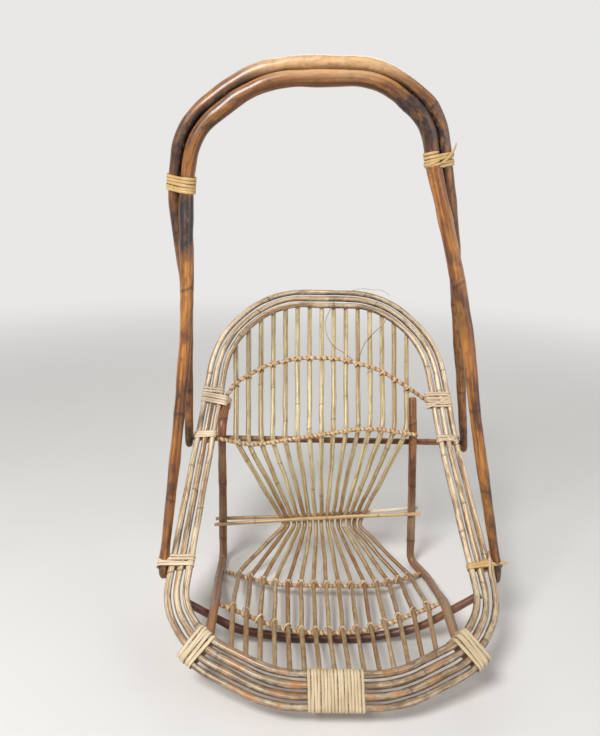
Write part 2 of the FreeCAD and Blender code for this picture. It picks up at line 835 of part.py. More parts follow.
def lashings():
    """Every lashing, the left and right of a kind together as two solids of one node."""
    parts = {}
    ties = []
    for side in sides:
        station, spread, half_angle = tie_station(side)
        radius = hanger_radius + winding_slack(tie_turns, half_angle)
        cores = [(-spread / 2, 0.0, radius), (spread / 2, 0.0, radius)]
        ties.append(winding("hanger_ties", station, cores, tie_turns, strip_width))
    parts["hanger_ties"] = Part.makeCompound(ties)
    for name, stations, turns, width in (
            ("upper_rim_lashings", upper_stations, upper_turns, strip_width),
            ("arm_lashings", mid_stations, arm_turns, strip_width)):
        pair = [winding(name, stations[side], rim_cores(), turns, width) for side in sides]
        parts[name] = Part.makeCompound(pair)
    legs = []
    for side in sides:
        station, half_angle = leg_station(side)
        slack = winding_slack(leg_turns, half_angle)
        cores = rim_cores(rim_radius + contact_gap + hanger_radius, hanger_radius)
        cores = [(u, w, radius / math.cos(half_angle) + slack) for u, w, radius in cores]
        legs.append(winding("leg_lashings", station, cores, leg_turns, strip_width))
    parts["leg_lashings"] = Part.makeCompound(legs)
    under_cores = rim_cores(under_offset - rim_pitch, under_radius)
    front = [(front_corner_stations[side], corner_turns) for side in sides]
    front.append((rim_station(front_run, 0.5, 1), front_turns))
    parts["front_lashings"] = Part.makeCompound(
        [winding("front_lashings", station, under_cores, turns, wide_strip_width)
         for station, turns in front])
    return parts


def build():
    """Every piece in its own node, set so that the whole stands on the floor round the origin."""
    parts = {}
    parts.update(hanger_poles())
    parts.update(rim_canes())
    parts.update(under_canes())
    parts["back_crossbar"] = back_crossbar()
    parts.update(seat_rails())
    parts["seat_cross_pole"] = seat_cross_pole()
    parts.update(spokes())
    parts.update(ribs())
    parts.update(waist_bars())
    parts.update(lashings())
    return parts


def stand(parts):
    """Move everything alike, so that the origin is under the middle of the piece, on the floor."""
    boxes = [shape.optimalBoundingBox(False, False) for shape in parts.values()]
    middle_x = (min(box.XMin for box in boxes) + max(box.XMax for box in boxes)) / 2
    middle_y = (min(box.YMin for box in boxes) + max(box.YMax for box in boxes)) / 2
    lowest = min(box.ZMin for box in boxes)
    for shape in parts.values():
        shape.translate(Vector(-middle_x, -middle_y, -lowest))


os.makedirs("parts", exist_ok=True)
pieces = build()
stand(pieces)
for node, shape in pieces.items():
    shape.exportStep("parts/%s.step" % node)
print("%d nodes" % len(pieces))
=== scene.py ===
"""Looks of a cane swing chair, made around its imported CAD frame.

A closed rim of three canes carries a laced fan of spokes and hangs in an arch of two bent, lacquered poles.
Lengths are in metres. X runs to the right, Y to the back and Z up, as in the CAD frame.
"""

import logging
import math
from abc import ABC, abstractmethod
from dataclasses import dataclass, field
from enum import Enum
from typing import Callable, Sequence

import bpy
import numpy as np
from mathutils import Matrix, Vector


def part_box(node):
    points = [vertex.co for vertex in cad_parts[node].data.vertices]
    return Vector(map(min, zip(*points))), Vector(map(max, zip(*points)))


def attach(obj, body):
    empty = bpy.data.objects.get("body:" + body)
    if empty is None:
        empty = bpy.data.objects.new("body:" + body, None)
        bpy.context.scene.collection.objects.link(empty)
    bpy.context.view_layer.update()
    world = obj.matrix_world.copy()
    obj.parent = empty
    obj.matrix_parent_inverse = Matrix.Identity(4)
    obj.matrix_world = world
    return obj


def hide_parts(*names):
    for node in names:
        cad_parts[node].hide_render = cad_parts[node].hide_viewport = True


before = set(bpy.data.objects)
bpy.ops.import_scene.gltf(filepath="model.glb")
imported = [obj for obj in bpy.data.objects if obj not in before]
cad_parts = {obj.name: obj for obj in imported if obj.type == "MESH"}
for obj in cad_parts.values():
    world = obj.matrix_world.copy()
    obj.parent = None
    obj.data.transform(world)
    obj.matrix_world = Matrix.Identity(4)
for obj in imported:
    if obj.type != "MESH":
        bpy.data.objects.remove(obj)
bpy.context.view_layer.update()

LOG = logging.getLogger("cane_swing")

Rows = tuple[tuple[float, ...], ...]
Colour = tuple[float, float, float, float]
Circle = tuple[float, float, float]
Band = tuple[float, float, float, float]
Mask = Callable[[np.ndarray], np.ndarray]

# Driving sizes, as the CAD source has them
HALF_WIDTH = 0.330
DEPTH = 0.640
HEIGHT = 1.245
SIDES = (-1, 1)

X_AXIS = np.array([1.0, 0.0, 0.0])
Y_AXIS = np.array([0.0, 1.0, 0.0])
Z_AXIS = np.array([0.0, 0.0, 1.0])

# Distances between the points of most lines, of a rim cane, of a rib or fibre and of a loose end, and how much
# of its shorter run a loose end's or fibre's bend takes
LINE_STEP = 0.005
RIM_STEP = 0.006
RIB_STEP = 0.004
TAIL_STEP = 0.003
TAIL_BEND = 0.45

# Where the rim is bound: a run of its half and a share of that run, or a corner of its half
UPPER_TIE = (1, 0.60)
LEG_TIE = (2, 0.790)
ARM_CORNER = 2
FRONT_CORNER = 4

# How far round the inner rim cane a rib's end and a rail's top lie in the upper lashing, and the rail's slack
RIB_LEAN = math.radians(15)
RAIL_LEAN = math.radians(35)
RAIL_SLACK = 0.0015

# Where a cane gets extra sections: at an end, as shares of the end's reach, and beside a node, in node widths
END_SECTIONS = np.array([0.0, 0.08, 0.3, 0.6, 1.0])
NODE_SECTIONS = np.array([-1.6, -0.9, -0.5, -0.25, 0.0, 0.25, 0.5, 0.9, 1.6])
LEAST_SECTION_GAP = 0.0003


class Slot(Enum):
    """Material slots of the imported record."""

    HANGER = "hanger_cane"
    RIM = "rim_cane"
    SPOKE = "spoke_cane"
    FRAME = "frame_cane"
    STRIP = "binding_strip"


class CaneEnd(Enum):
    """How a cane ends: sawn flat with a broken edge, or worn round."""

    SAWN = (0.16, 0.86)
    ROUND = (0.95, 0.30)


# Lines through space

def place(rows: np.ndarray | list) -> np.ndarray:
    """Points from shares of half width, depth and height, in one row of three or in many."""
    return np.asarray(rows, float) * np.array([HALF_WIDTH, DEPTH, HEIGHT])


def mirrored(points: np.ndarray) -> np.ndarray:
    """Points or directions on the other side of the chair: X changes its sign."""
    return points * np.array([-1.0, 1.0, 1.0])


def unit(vectors: np.ndarray) -> np.ndarray:
    """Vectors divided by their lengths, along the last axis."""
    return vectors / np.maximum(np.linalg.norm(vectors, axis=-1, keepdims=True), 1e-12)


def travelled(points: np.ndarray) -> np.ndarray:
    """Distance from the first point of a line to each of its points: the running sum of its gaps."""
    return np.concatenate([[0.0], np.cumsum(np.linalg.norm(np.diff(points, axis=0), axis=1))])


def read_rows(wanted: np.ndarray, known: np.ndarray, rows: np.ndarray) -> np.ndarray:
    """Rows read at wanted places between the rising known ones, each column by straight interpolation."""
    return np.stack([np.interp(wanted, known, column) for column in rows.T], axis=-1)


def bend_radii(corners: np.ndarray, shares: list[float]) -> list[float]:
    """Radius at each inner corner: its tangents take a share of the shorter run beside it.

    Args:
        corners: Corners of the line.
        shares: One share for each inner corner.

    Returns:
        One radius for each inner corner.
    """
    runs = np.diff(corners, axis=0)
    lengths = np.linalg.norm(runs, axis=1)
    ways = unit(runs)
    turns = np.arccos(np.clip((ways[:-1] * ways[1:]).sum(1), -1, 1))
    tangents = np.array(shares) * np.minimum(lengths[:-1], lengths[1:])
    return list(tangents / np.tan(np.maximum(turns / 2, 1e-6)))


def bent_line(corners: np.ndarray, radii: list[float], step: float = LINE_STEP) -> np.ndarray:
    """Straight runs joined by tangent arcs, as evenly spaced points.

    An arc is its centre, plus the radius times the cosine of the turn so far towards its start and the sine
    of it along the first run.

    Args:
        corners: Corners of the line.
        radii: Radius at each inner corner.
        step: Distance between points.

    Returns:
        Points along the line.
    """
    parts = [corners[:1]]
    for before, corner, after, radius in zip(corners, corners[1:], corners[2:], radii):
        run_in, run_out = unit(corner - before), unit(after - corner)
        turn = math.acos(float(np.clip(run_in @ run_out, -1, 1)))
        if turn < 2e-3:
            continue
        inward = unit(run_out - run_in * (run_in @ run_out))
        start = corner - run_in * (radius * math.tan(turn / 2))
        angles = np.linspace(0, turn, max(4, int(radius * turn / step) + 2))[:, None]
        parts.append(start + inward * radius * (1 - np.cos(angles)) + run_in * radius * np.sin(angles))
    parts.append(corners[-1:])
    line = np.concatenate(parts)
    distance = travelled(line)
    count = max(3, int(round(distance[-1] / step)) + 1)
    return read_rows(np.linspace(0, distance[-1], count), distance, line)


def bent_by_shares(corners: np.ndarray, shares: list[float] | float, step: float = LINE_STEP) -> np.ndarray:
    """A bent line whose radii come from shares of its runs.

    Args:
        corners: Corners of the line.
        shares: One share for all inner corners, or one for each.
        step: Distance between points.

    Returns:
        Points along the line.
    """
    if isinstance(shares, float):
        shares = [shares] * (len(corners) - 2)
    return bent_line(corners, bend_radii(corners, shares), step)


def at_x(line: np.ndarray, x: float) -> np.ndarray:
    """The point where a line that runs across the chair passes a given x."""
    order = np.argsort(line[:, 0])
    return read_rows(np.array([x]), line[order, 0], line[order])[0]


def wander(distance: np.ndarray, seed: int, length: float = 0.12) -> np.ndarray:
    """A slow wander between about -1 and 1: three sines of unrelated lengths with seeded phases.

    Args:
        distance: Places to read at.
        seed: Seed of the phases.
        length: Middle one of the three wave lengths.

    Returns:
        One value for each place.
    """
    chance = np.random.default_rng(seed)
    phases = chance.uniform(0, 2 * math.pi, 3)
    lengths = length * np.array([1.0, 0.43, 2.3]) * chance.uniform(0.85, 1.15, 3)
    waves = np.sin(2 * math.pi * distance[..., None] / lengths + phases)
    return (waves * np.array([0.5, 0.25, 0.45])).sum(-1)


@dataclass
class Course:
    """A line with a cross-section frame at each point, which a cane or strip follows."""

    points: np.ndarray
    reference: np.ndarray

    def __post_init__(self) -> None:
        """Works out distances, tangents, and two directions square to them from the reference."""
        self.distance = travelled(self.points)
        self.tangents = unit(np.gradient(self.points, self.distance, axis=0))
        aside = (self.reference * self.tangents).sum(-1, keepdims=True)
        self.normals = unit(self.reference - self.tangents * aside)
        self.binormals = np.cross(self.tangents, self.normals)

    @property
    def length(self) -> float:
        """Length of the line."""
        return float(self.distance[-1])

    def at(self, distance: np.ndarray) -> tuple[np.ndarray, np.ndarray, np.ndarray, np.ndarray]:
        """Reads the course at given distances.

        Args:
            distance: Distances from its start.

        Returns:
            Points, tangents, normals and binormals.
        """
        rows = np.concatenate([self.points, self.tangents, self.normals, self.binormals], axis=1)
        found = read_rows(distance, self.distance, rows)
        return found[:, :3], found[:, 3:6], found[:, 6:9], found[:, 9:]


# Meshes

class Shell:
    """Closed skins gathered into one piece, with grain coordinates and marks at each vertex."""

    # Edges where the faces turn by more than this stay sharp
    SHARP = math.radians(62)

    def __init__(self) -> None:
        """Starts with nothing in it."""
        self.vertices: list[np.ndarray] = []
        self.faces: list[list[int]] = []
        self.grain: list[np.ndarray] = []
        self.marks: list[np.ndarray] = []
        self.count = 0

    def add(self, rings: np.ndarray, grain: np.ndarray, marks: np.ndarray) -> None:
        """Adds a skin through rings of points, with a cap at each end.

        Each quad joins two neighbours on one ring with the same two on the next. The skin is turned outwards
        by the sign of its volume, which is a sixth of the sum of its triangles' triple products.

        Args:
            rings: Points, rings by places round a ring by three.
            grain: Distance along, and the two places across, in the straightened piece, at each point.
            marks: Masks at each point: strip tone or cane patch, partly painted shade, ring or edge, and bare
                wood, partly painted highlight.
        """
        rows, around = rings.shape[:2]
        index = np.arange(rows * around).reshape(rows, around)
        beside = np.roll(index, -1, axis=1)
        quads = np.stack([index[:-1], beside[:-1], beside[1:], index[1:]], axis=-1).reshape(-1, 4)
        points = rings.reshape(-1, 3)
        centred = points - points.mean(0)
        a, b, c, d = (centred[quads[:, k]] for k in range(4))
        volume = (np.cross(a, b) * c).sum() + (np.cross(a, c) * d).sum()
        caps = [index[0][::-1], index[-1]]
        faces = quads.tolist() + [cap.tolist() for cap in caps]
        if volume < 0:
            faces = [face[::-1] for face in faces]
        self.faces.extend([[corner + self.count for corner in face] for face in faces])
        self.vertices.append(points)
        self.grain.append(np.broadcast_to(grain, rings.shape).reshape(-1, 3))
        self.marks.append(np.broadcast_to(marks, rings.shape).reshape(-1, 3))
        self.count += len(points)

    def piece(self, name: str, slot: Slot, material: bpy.types.Material,
              nodes: tuple[str, ...] = ()) -> bpy.types.Object:
        """Makes the mesh object, moves it into the CAD frame, parents it to the root and hides the nodes it
        replaces.

        Args:
            name: Name of the piece.
            slot: Material slot of the record; not used.
            material: Its material.
            nodes: CAD nodes that it replaces.

        Returns:
            The new object.
        """
        mesh = bpy.data.meshes.new(name)
        mesh.from_pydata(np.concatenate(self.vertices) + FRAME_SHIFT, [], self.faces)
        for label, rows in (("grain", self.grain), ("marks", self.marks)):
            attribute = mesh.attributes.new(label, "FLOAT_VECTOR", "POINT")
            attribute.data.foreach_set("vector", np.concatenate(rows).astype(np.float32).ravel())
        mesh.shade_smooth()
        mesh.set_sharp_from_angle(angle=self.SHARP)
        mesh.materials.append(material)
        made = bpy.data.objects.new(name, mesh)
        bpy.context.scene.collection.objects.link(made)
        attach(made, "root")
        if nodes:
            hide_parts(*nodes)
        LOG.info("%s: %d faces", name, len(mesh.polygons))
        return made


@dataclass
class CaneBody:
    """Radius of a natural cane along its course: taper, slow swelling, an oval section and ring nodes."""

    # A node's tilt as a share of the radius, how far the tilt turns from node to node, how deep its groove is
    # against its rise, and how many times narrower than the node the groove and the painted ring are
    TILT = 0.35
    TILT_TURN = 2.1
    GROOVE_DEPTH = 0.7
    GROOVE_BELL = 5
    RING_BELL = 3.2

    radius: float
    taper: Rows = ((0.0, 1.0), (1.0, 1.0))
    swell: float = 0.03
    oval: float = 0.03
    nodes: tuple[float, ...] = ()
    node_rise: float = 0.05
    node_width: float = 0.010
    sides: int = 14
    seed: int = 0
    ends: tuple[CaneEnd, CaneEnd] = (CaneEnd.SAWN, CaneEnd.SAWN)
    patches: Mask | None = None
    # Mask of worn wood, which on the poles' crown top is partly a painted highlight
    wear_and_highlight: Mask | None = None
    # Strength of the painted shade on the sides of the cane toward its neighbours
    painted_side_shade: float = 0.0
    waver: float = 0.0

    def sections(self, course: Course) -> np.ndarray:
        """Distances at which the cane gets a section: closer together at its ends and nodes.

        Args:
            course: Line that it follows.

        Returns:
            Rising distances from the start of the course.
        """
        first, last = (self.radius * end.value[0] * END_SECTIONS for end in self.ends)
        at_nodes = [node + self.node_width * NODE_SECTIONS for node in self.nodes]
        inner = np.unique(np.concatenate([course.distance, *at_nodes]))
        inner = inner[np.concatenate([[True], np.diff(inner) > LEAST_SECTION_GAP])]
        inner = inner[(inner > first[-1] * 1.2) & (inner < course.length - last[-1] * 1.2)]
        return np.concatenate([first, inner, course.length - last[::-1]])

    def thickness(self, s: np.ndarray, angle: np.ndarray, length: float) -> tuple[np.ndarray, np.ndarray]:
        """Radius and ring mask at each point.

        The tapered radius swells slowly, and its oval section turns slowly. A node is a wide swelling less a
        narrow groove, both bell curves of the distance from it, tilted a little. At an end the radius falls
        as a quarter ellipse.

        Args:
            s: Distances along, as a column.
            angle: Angles round the section, as a row.
            length: Length of the course.

        Returns:
            The radius, and the mask of the painted rings.
        """
        radius = self.radius * np.interp(s / length, *zip(*self.taper))
        radius = radius * (1 + self.swell * wander(s, self.seed)
                           + self.oval * np.cos(2 * angle + 2.5 * wander(s, self.seed + 1, 0.3)))
        ring = np.zeros_like(radius)
        for k, node in enumerate(self.nodes):
            tilt = self.TILT * self.radius * np.cos(angle + self.TILT_TURN * k)
            apart = (s + tilt - node) / self.node_width
            groove = self.GROOVE_DEPTH * np.exp(-(apart * self.GROOVE_BELL) ** 2)
            radius = radius * (1 + self.node_rise * (np.exp(-apart ** 2) - groove))
            ring = ring + np.exp(-(apart * self.RING_BELL) ** 2)
        for from_end, end in zip((s, length - s), self.ends):
            reach, least = end.value
            fall = np.clip(from_end / (reach * self.radius), 0, 1)
            radius = radius * (least + (1 - least) * np.sqrt(1 - (1 - fall) ** 2))
        return radius, np.clip(ring, 0, 1)

    def add_to(self, shell: Shell, course: Course) -> None:
        """Sweeps the section along a course.

        A point is the course's point, plus the radius there times the cosine of the angle along the normal
        and the sine along the binormal. The line itself wavers sideways by two slow wanders, which a half
        sine holds still at both ends. Painted shade along both sides, towards the neighbouring canes, grows as
        the fourth power of the sine.

        Args:
            shell: Shell that the cane joins.
            course: Line that it follows.
        """
        along = self.sections(course)
        points, _, normals, binormals = course.at(along)
        angle = np.linspace(0, 2 * math.pi, self.sides, endpoint=False)[None, :]
        cosine, sine = np.cos(angle), np.sin(angle)
        s = along[:, None]
        sideways = normals * wander(s, self.seed + 5, 0.21) + binormals * wander(s, self.seed + 6, 0.17)
        points = points + self.waver * np.sin(math.pi * (s / course.length)) * sideways
        radius, ring = self.thickness(s, angle, course.length)
        across = normals[:, None, :] * cosine[..., None] + binormals[:, None, :] * sine[..., None]
        rings = points[:, None, :] + radius[..., None] * across
        grain = np.stack([s + 0 * angle + self.seed * 0.37, radius * cosine, radius * sine], axis=-1)
        patch = np.zeros_like(radius) if self.patches is None else self.patches(rings)
        # Painted shade on the sides toward the neighbouring canes joins the patch mask
        patch = np.clip(patch + self.painted_side_shade * sine ** 4, 0, 1)
        # Bare, sawn ends, then worn spots, which on the poles' crown top are partly a painted highlight
        bare_and_highlight = np.isin(s, [along[0], along[1], along[-1], along[-2]]) + 0 * radius
        if self.wear_and_highlight is not None:
            bare_and_highlight = np.maximum(bare_and_highlight, self.wear_and_highlight(rings))
        shell.add(rings, grain, np.stack([patch, ring, bare_and_highlight], axis=-1))


@dataclass(frozen=True)
class Strip:
    """A peeled binding strip: its width and thickness."""

    width: float
    thickness: float = 0.0013

    # A flat section with rounded edges and a slightly crowned face, as shares of width and thickness
    SECTION = np.array([(-0.5, 0.0), (-0.46, 0.34), (-0.28, 0.46), (0.0, 0.5), (0.28, 0.46), (0.46, 0.34),
                        (0.5, 0.0), (0.42, -0.42), (0.0, -0.5), (-0.42, -0.42)])

    # Share of the width left at a tucked end, and how many widths before it the strip starts to narrow
    TUCKED = 0.45
    TUCK = 1.5

    def add_to(self, shell: Shell, points: np.ndarray, across: np.ndarray, tone: float, seed: int) -> None:
        """Carries the section along a line.

        A point is the line's point, plus a share of the width across and a share of the thickness away. The
        width falls near both ends, where the strip is tucked in.

        Args:
            shell: Shell that the strip joins.
            points: Line that it follows.
            across: The way its width lies, one row or one for each point.
            tone: Shade of the strip, held in the first mark.
            seed: Seed of its wander.
        """
        distance = travelled(points)
        tangents = unit(np.gradient(points, distance, axis=0))
        across = np.broadcast_to(across, points.shape)
        across = unit(across - tangents * (across * tangents).sum(-1, keepdims=True))
        away = np.cross(across, tangents)
        near_end = np.minimum(distance, distance[-1] - distance) / (self.TUCK * self.width)
        width = self.width * (self.TUCKED + (1 - self.TUCKED) * np.clip(near_end, 0, 1))
        width = width * (1 + 0.05 * wander(distance, seed, 0.03))
        a = self.SECTION[None, :, 0] * width[:, None]
        h = self.SECTION[None, :, 1] * self.thickness * np.ones_like(a)
        rings = points[:, None, :] + a[..., None] * across[:, None, :] + h[..., None] * away[:, None, :]
        grain = np.stack([distance[:, None] + 0 * a + seed * 0.21, a, h], axis=-1)
        edge = np.clip(np.abs(self.SECTION[None, :, 0]) * 2, 0, 1) ** 4 + 0 * a
        shade = np.clip(tone + 0.25 * wander(distance, seed + 9, 0.09), 0, 1)[:, None] + 0 * a
        shell.add(rings, grain, np.stack([shade, edge, 0 * a], axis=-1))


def lap(circles: np.ndarray, count: int) -> tuple[np.ndarray, np.ndarray]:
    """One taut lap round a bundle of canes, from the back of it.

    In each direction the strip touches the circle that reaches furthest that way. Between two circles it is
    straight, because the points are then spaced evenly along the outline.

    Args:
        circles: Rows of outward place, facing place and radius.
        count: Number of points.

    Returns:
        Places on the outline and the directions away from the bundle, as pairs of outward and facing.
    """
    angles = np.linspace(-math.pi / 2, 1.5 * math.pi, 1441)
    ways = np.stack([np.cos(angles), np.sin(angles)])
    reach = circles[:, :2] @ ways + circles[:, 2:]
    touched = circles[np.argmax(reach, axis=0)]
    outline = touched[:, :2] + touched[:, 2:] * ways.T
    distance = travelled(outline)
    wanted = np.linspace(0, distance[-1], count, endpoint=False)
    read = read_rows(wanted, distance, np.column_stack([outline, angles]))
    return read[:, :2], np.column_stack([np.cos(read[:, 2]), np.sin(read[:, 2])])


@dataclass(frozen=True)
class Station:
    """A place on the chair with the directions along the bundle there, outward and facing the sitter."""

    centre: np.ndarray
    along: np.ndarray
    outward: np.ndarray
    facing: np.ndarray

    def moved(self, along: float = 0.0, outward: float = 0.0) -> "Station":
        """The same directions at a place further along or outward."""
        return Station(self.point(along, outward), self.along, self.outward, self.facing)

    def point(self, along: float = 0.0, outward: float = 0.0, facing: float = 0.0) -> np.ndarray:
        """A point at given distances from the place in its three directions."""
        return self.centre + self.along * along + self.outward * outward + self.facing * facing


@dataclass
class Winding:
    """A strip wound round a bundle, one turn beside the other.

    After q laps the strip has moved sideways by the pitch times q and a sine of q, so that it climbs at the
    back and lies nearly square in front. Slant adds a sideways share of the outward place.
    """

    # How much of the pitch is gained at the back, how high the strip lies as a share of its thickness, and how
    # unevenly
    GAIN = 0.75
    SEAT = 0.6
    UNEVEN = 0.0003

    station: Station
    circles: list[Circle]
    turns: float
    strip: Strip
    pitch: float
    slant: float = 0.0
    lift: float = 0.0
    tone: float = 0.5
    seed: int = 1
    points_per_lap: int = 44
    unrest: float = 0.12

    def add_to(self, shell: Shell) -> None:
        """Adds the wound strip to a shell.

        Args:
            shell: Shell that it joins.
        """
        places, ways = lap(np.array(self.circles), self.points_per_lap)
        count = int(self.turns * self.points_per_lap) + 1
        rows = np.arange(count) % self.points_per_lap
        q = np.arange(count) / self.points_per_lap
        u, w = places[rows].T
        away_u, away_w = ways[rows].T
        climb = q + self.GAIN * np.sin(2 * math.pi * q) / (2 * math.pi) - self.turns / 2
        sideways = self.pitch * (climb + self.unrest * wander(q, self.seed, 1.7)) + self.slant * u
        rise = self.strip.thickness * self.SEAT + self.lift + self.UNEVEN * (1 + wander(q, self.seed + 3, 1.3))
        at = self.station
        line = (at.centre + np.outer(u + rise * away_u, at.outward) + np.outer(w + rise * away_w, at.facing)
                + np.outer(sideways, at.along))
        self.strip.add_to(shell, line, at.along, self.tone, seed=self.seed)


def patch_field(rows: Sequence[Band], axis: int = 2, base: float = 0.0) -> Mask:
    """A mask made of soft bands, one for each row, each on one side of the chair or on both.

    Args:
        rows: Side (-1, 1 or 0 for both), centre and half width along the axis, and strength.
        axis: Axis that the bands are stacked on.
        base: Value away from the bands.

    Returns:
        A function from points to the mask: the base plus the sum of the bell curves, held from 0 to 1.
    """
    def mask(points: np.ndarray) -> np.ndarray:
        """Value of the mask at each point.

        Args:
            points: Points, with their coordinates on the last axis.

        Returns:
            Values from 0 to 1.
        """
        value = np.full(points.shape[:-1], base)
        for side, centre, spread, strength in rows:
            bell = np.exp(-((points[..., axis] - centre) / spread) ** 2) * strength
            value = value + bell * (1.0 if side == 0 else (points[..., 0] * side > 0))
        return np.clip(value, 0, 1)

    return mask


# Finishes

def paint(red: float, green: float, blue: float) -> Colour:
    """A linear colour from the numbers of a screen colour, 0 to 255: each is raised to the power of 2.2."""
    return tuple((channel / 255) ** 2.2 for channel in (red, green, blue)) + (1.0,)


class NodeSheet:
    """Short calls for laying out shader nodes in one tree."""

    def __init__(self, tree: bpy.types.NodeTree) -> None:
        """Works on an empty or new tree."""
        self.tree = tree

    @classmethod
    def empty(cls, owner: bpy.types.Material | bpy.types.World) -> "NodeSheet":
        """Clears the tree of a material or a world.

        Args:
            owner: The material or world.

        Returns:
            A sheet that works on the tree.
        """
        owner.use_nodes = True
        owner.node_tree.nodes.clear()
        return cls(owner.node_tree)

    def feed(self, target: bpy.types.NodeSocket, value: object) -> None:
        """Links a socket to an input, or sets the input's value.

        Args:
            target: The input.
            value: A socket or a value.
        """
        if isinstance(value, bpy.types.NodeSocket):
            self.tree.links.new(value, target)
        else:
            target.default_value = value

    def node(self, kind: str, inputs: dict | None = None, **settings: object) -> bpy.types.Node:
        """Adds a node.

        Args:
            kind: Node type.
            inputs: Values or sockets for its inputs, by name or number.
            **settings: Properties of the node.

        Returns:
            The node.
        """
        made = self.tree.nodes.new(kind)
        for key, value in settings.items():
            setattr(made, key, value)
        for key, value in (inputs or {}).items():
            self.feed(made.inputs[key], value)
        return made

    def math(self, operation: str, first: object, second: object, clamp: bool = False) -> bpy.types.NodeSocket:
        """A Math node's result."""
        made = self.node("ShaderNodeMath", {0: first, 1: second}, operation=operation, use_clamp=clamp)
        return made.outputs[0]

    def mix(self, share: object, first: object, second: object, blend: str = "MIX") -> bpy.types.NodeSocket:
        """A colour mix's result."""
        settings = {"data_type": "RGBA", "blend_type": blend, "clamp_factor": True}
        return self.node("ShaderNodeMix", {0: share, 6: first, 7: second}, **settings).outputs[2]

    def ramp(self, value: object, low: float, high: float) -> bpy.types.NodeSocket:
        """A value spread from low to high onto 0 to 1, with soft ends."""
        ends = {"Value": value, "From Min": low, "From Max": high}
        return self.node("ShaderNodeMapRange", ends, interpolation_type="SMOOTHSTEP").outputs["Result"]

    def share_of(self, value: object, low: float, high: float, strength: float) -> bpy.types.NodeSocket:
        """A ramp's result times a strength."""
        return self.math("MULTIPLY", self.ramp(value, low, high), strength)

    def grain(self, length: float, width: float, blotch: float) -> bpy.types.bpy_prop_collection:
        """The shared grain's outputs, for one streak length, streak width and blotch size."""
        sizes = {"Streak Length": length, "Streak Width": width, "Blotch Size": blotch}
        return self.node("ShaderNodeGroup", sizes, node_tree=GRAIN).outputs

    def marks(self) -> list[bpy.types.NodeSocket]:
        """The three marks that each piece carries."""
        marks = self.node("ShaderNodeAttribute", attribute_name="marks").outputs["Vector"]
        return list(self.node("ShaderNodeSeparateXYZ", {0: marks}).outputs)

    def surface(self, inputs: dict, strength: float, distance: float, height: bpy.types.NodeSocket) -> None:
        """Ends a material with a bump, the Principled shader and the output.

        Args:
            inputs: The shader's inputs, without the normal.
            strength: Strength of the bump.
            distance: Distance of the bump.
            height: Height of the bump.
        """
        bump = self.node("ShaderNodeBump", {"Strength": strength, "Distance": distance, "Height": height})
        shader = self.node("ShaderNodeBsdfPrincipled", inputs | {"Normal": bump.outputs[0]})
        self.node("ShaderNodeOutputMaterial", {"Surface": shader.outputs[0]})


def grain_group() -> bpy.types.NodeTree:
    """The grain that all canes and strips share, read in the straightened piece.

    Returns:
        A group with streaks and threads that run along, blotches, mottle, fine fibres and a height for bumps.
    """
    group = bpy.data.node_groups.new("cane_grain", "ShaderNodeTree")
    for name, value in (("Streak Length", 0.12), ("Streak Width", 0.004), ("Blotch Size", 0.05)):
        socket = group.interface.new_socket(name, in_out="INPUT", socket_type="NodeSocketFloat")
        socket.default_value = value
    for name in ("Streak", "Blotch", "Fibre", "Height", "Thread", "Mottle"):
        group.interface.new_socket(name, in_out="OUTPUT", socket_type="NodeSocketFloat")
    sheet = NodeSheet(group)
    given = sheet.node("NodeGroupInput").outputs
    grain = sheet.node("ShaderNodeAttribute", attribute_name="grain").outputs["Vector"]
    axes = sheet.node("ShaderNodeSeparateXYZ", {0: grain}).outputs

    def noise(length: object, width: object, detail: float, rough: float = 0.55) -> bpy.types.NodeSocket:
        """Noise whose spots have a given length along and width across.

        Args:
            length: Length of a spot.
            width: Width of a spot.
            detail: Detail of the noise.
            rough: Roughness of the noise.

        Returns:
            The noise.
        """
        along = sheet.math("DIVIDE", axes[0], length)
        across = [sheet.math("DIVIDE", axes[k], width) for k in (1, 2)]
        place_in = sheet.node("ShaderNodeCombineXYZ", {0: along, 1: across[0], 2: across[1]}).outputs[0]
        made = sheet.node("ShaderNodeTexNoise", {"Vector": place_in, "Scale": 1.0, "Detail": detail,
                                                 "Roughness": rough})
        return made.outputs["Fac"]

    streak = noise(given["Streak Length"], given["Streak Width"], 3.0)
    blotch = noise(given["Blotch Size"], sheet.math("MULTIPLY", given["Blotch Size"], 0.4), 3.0, 0.6)
    fibre = noise(0.03, 0.0007, 2.0)
    height = sheet.math("ADD", sheet.math("MULTIPLY", fibre, 0.5), sheet.math("MULTIPLY", streak, 0.5))
    thread = noise(sheet.math("MULTIPLY", given["Streak Length"], 0.6),
                   sheet.math("MULTIPLY", given["Streak Width"], 0.35), 2.0)
    mottle = noise(0.018, 0.009, 3.0, 0.65)
    outputs = {0: streak, 1: blotch, 2: fibre, 3: height, 4: thread, 5: mottle}
    sheet.node("NodeGroupOutput", outputs)
    return group


GRAIN = grain_group()


@dataclass(frozen=True)
class Finish(ABC):
    """What every finish has: a name, and a material that is built once."""

    name: str

    @abstractmethod
    def lay(self, sheet: NodeSheet) -> None:
        """Lays out the material's nodes on a sheet."""

    def material(self) -> bpy.types.Material:
        """Builds the material, or finds the one built before.

        Returns:
            The material.
        """
        found = bpy.data.materials.get(self.name)
        if found:
            return found
        material = bpy.data.materials.new(self.name)
        self.lay(NodeSheet.empty(material))
        return material


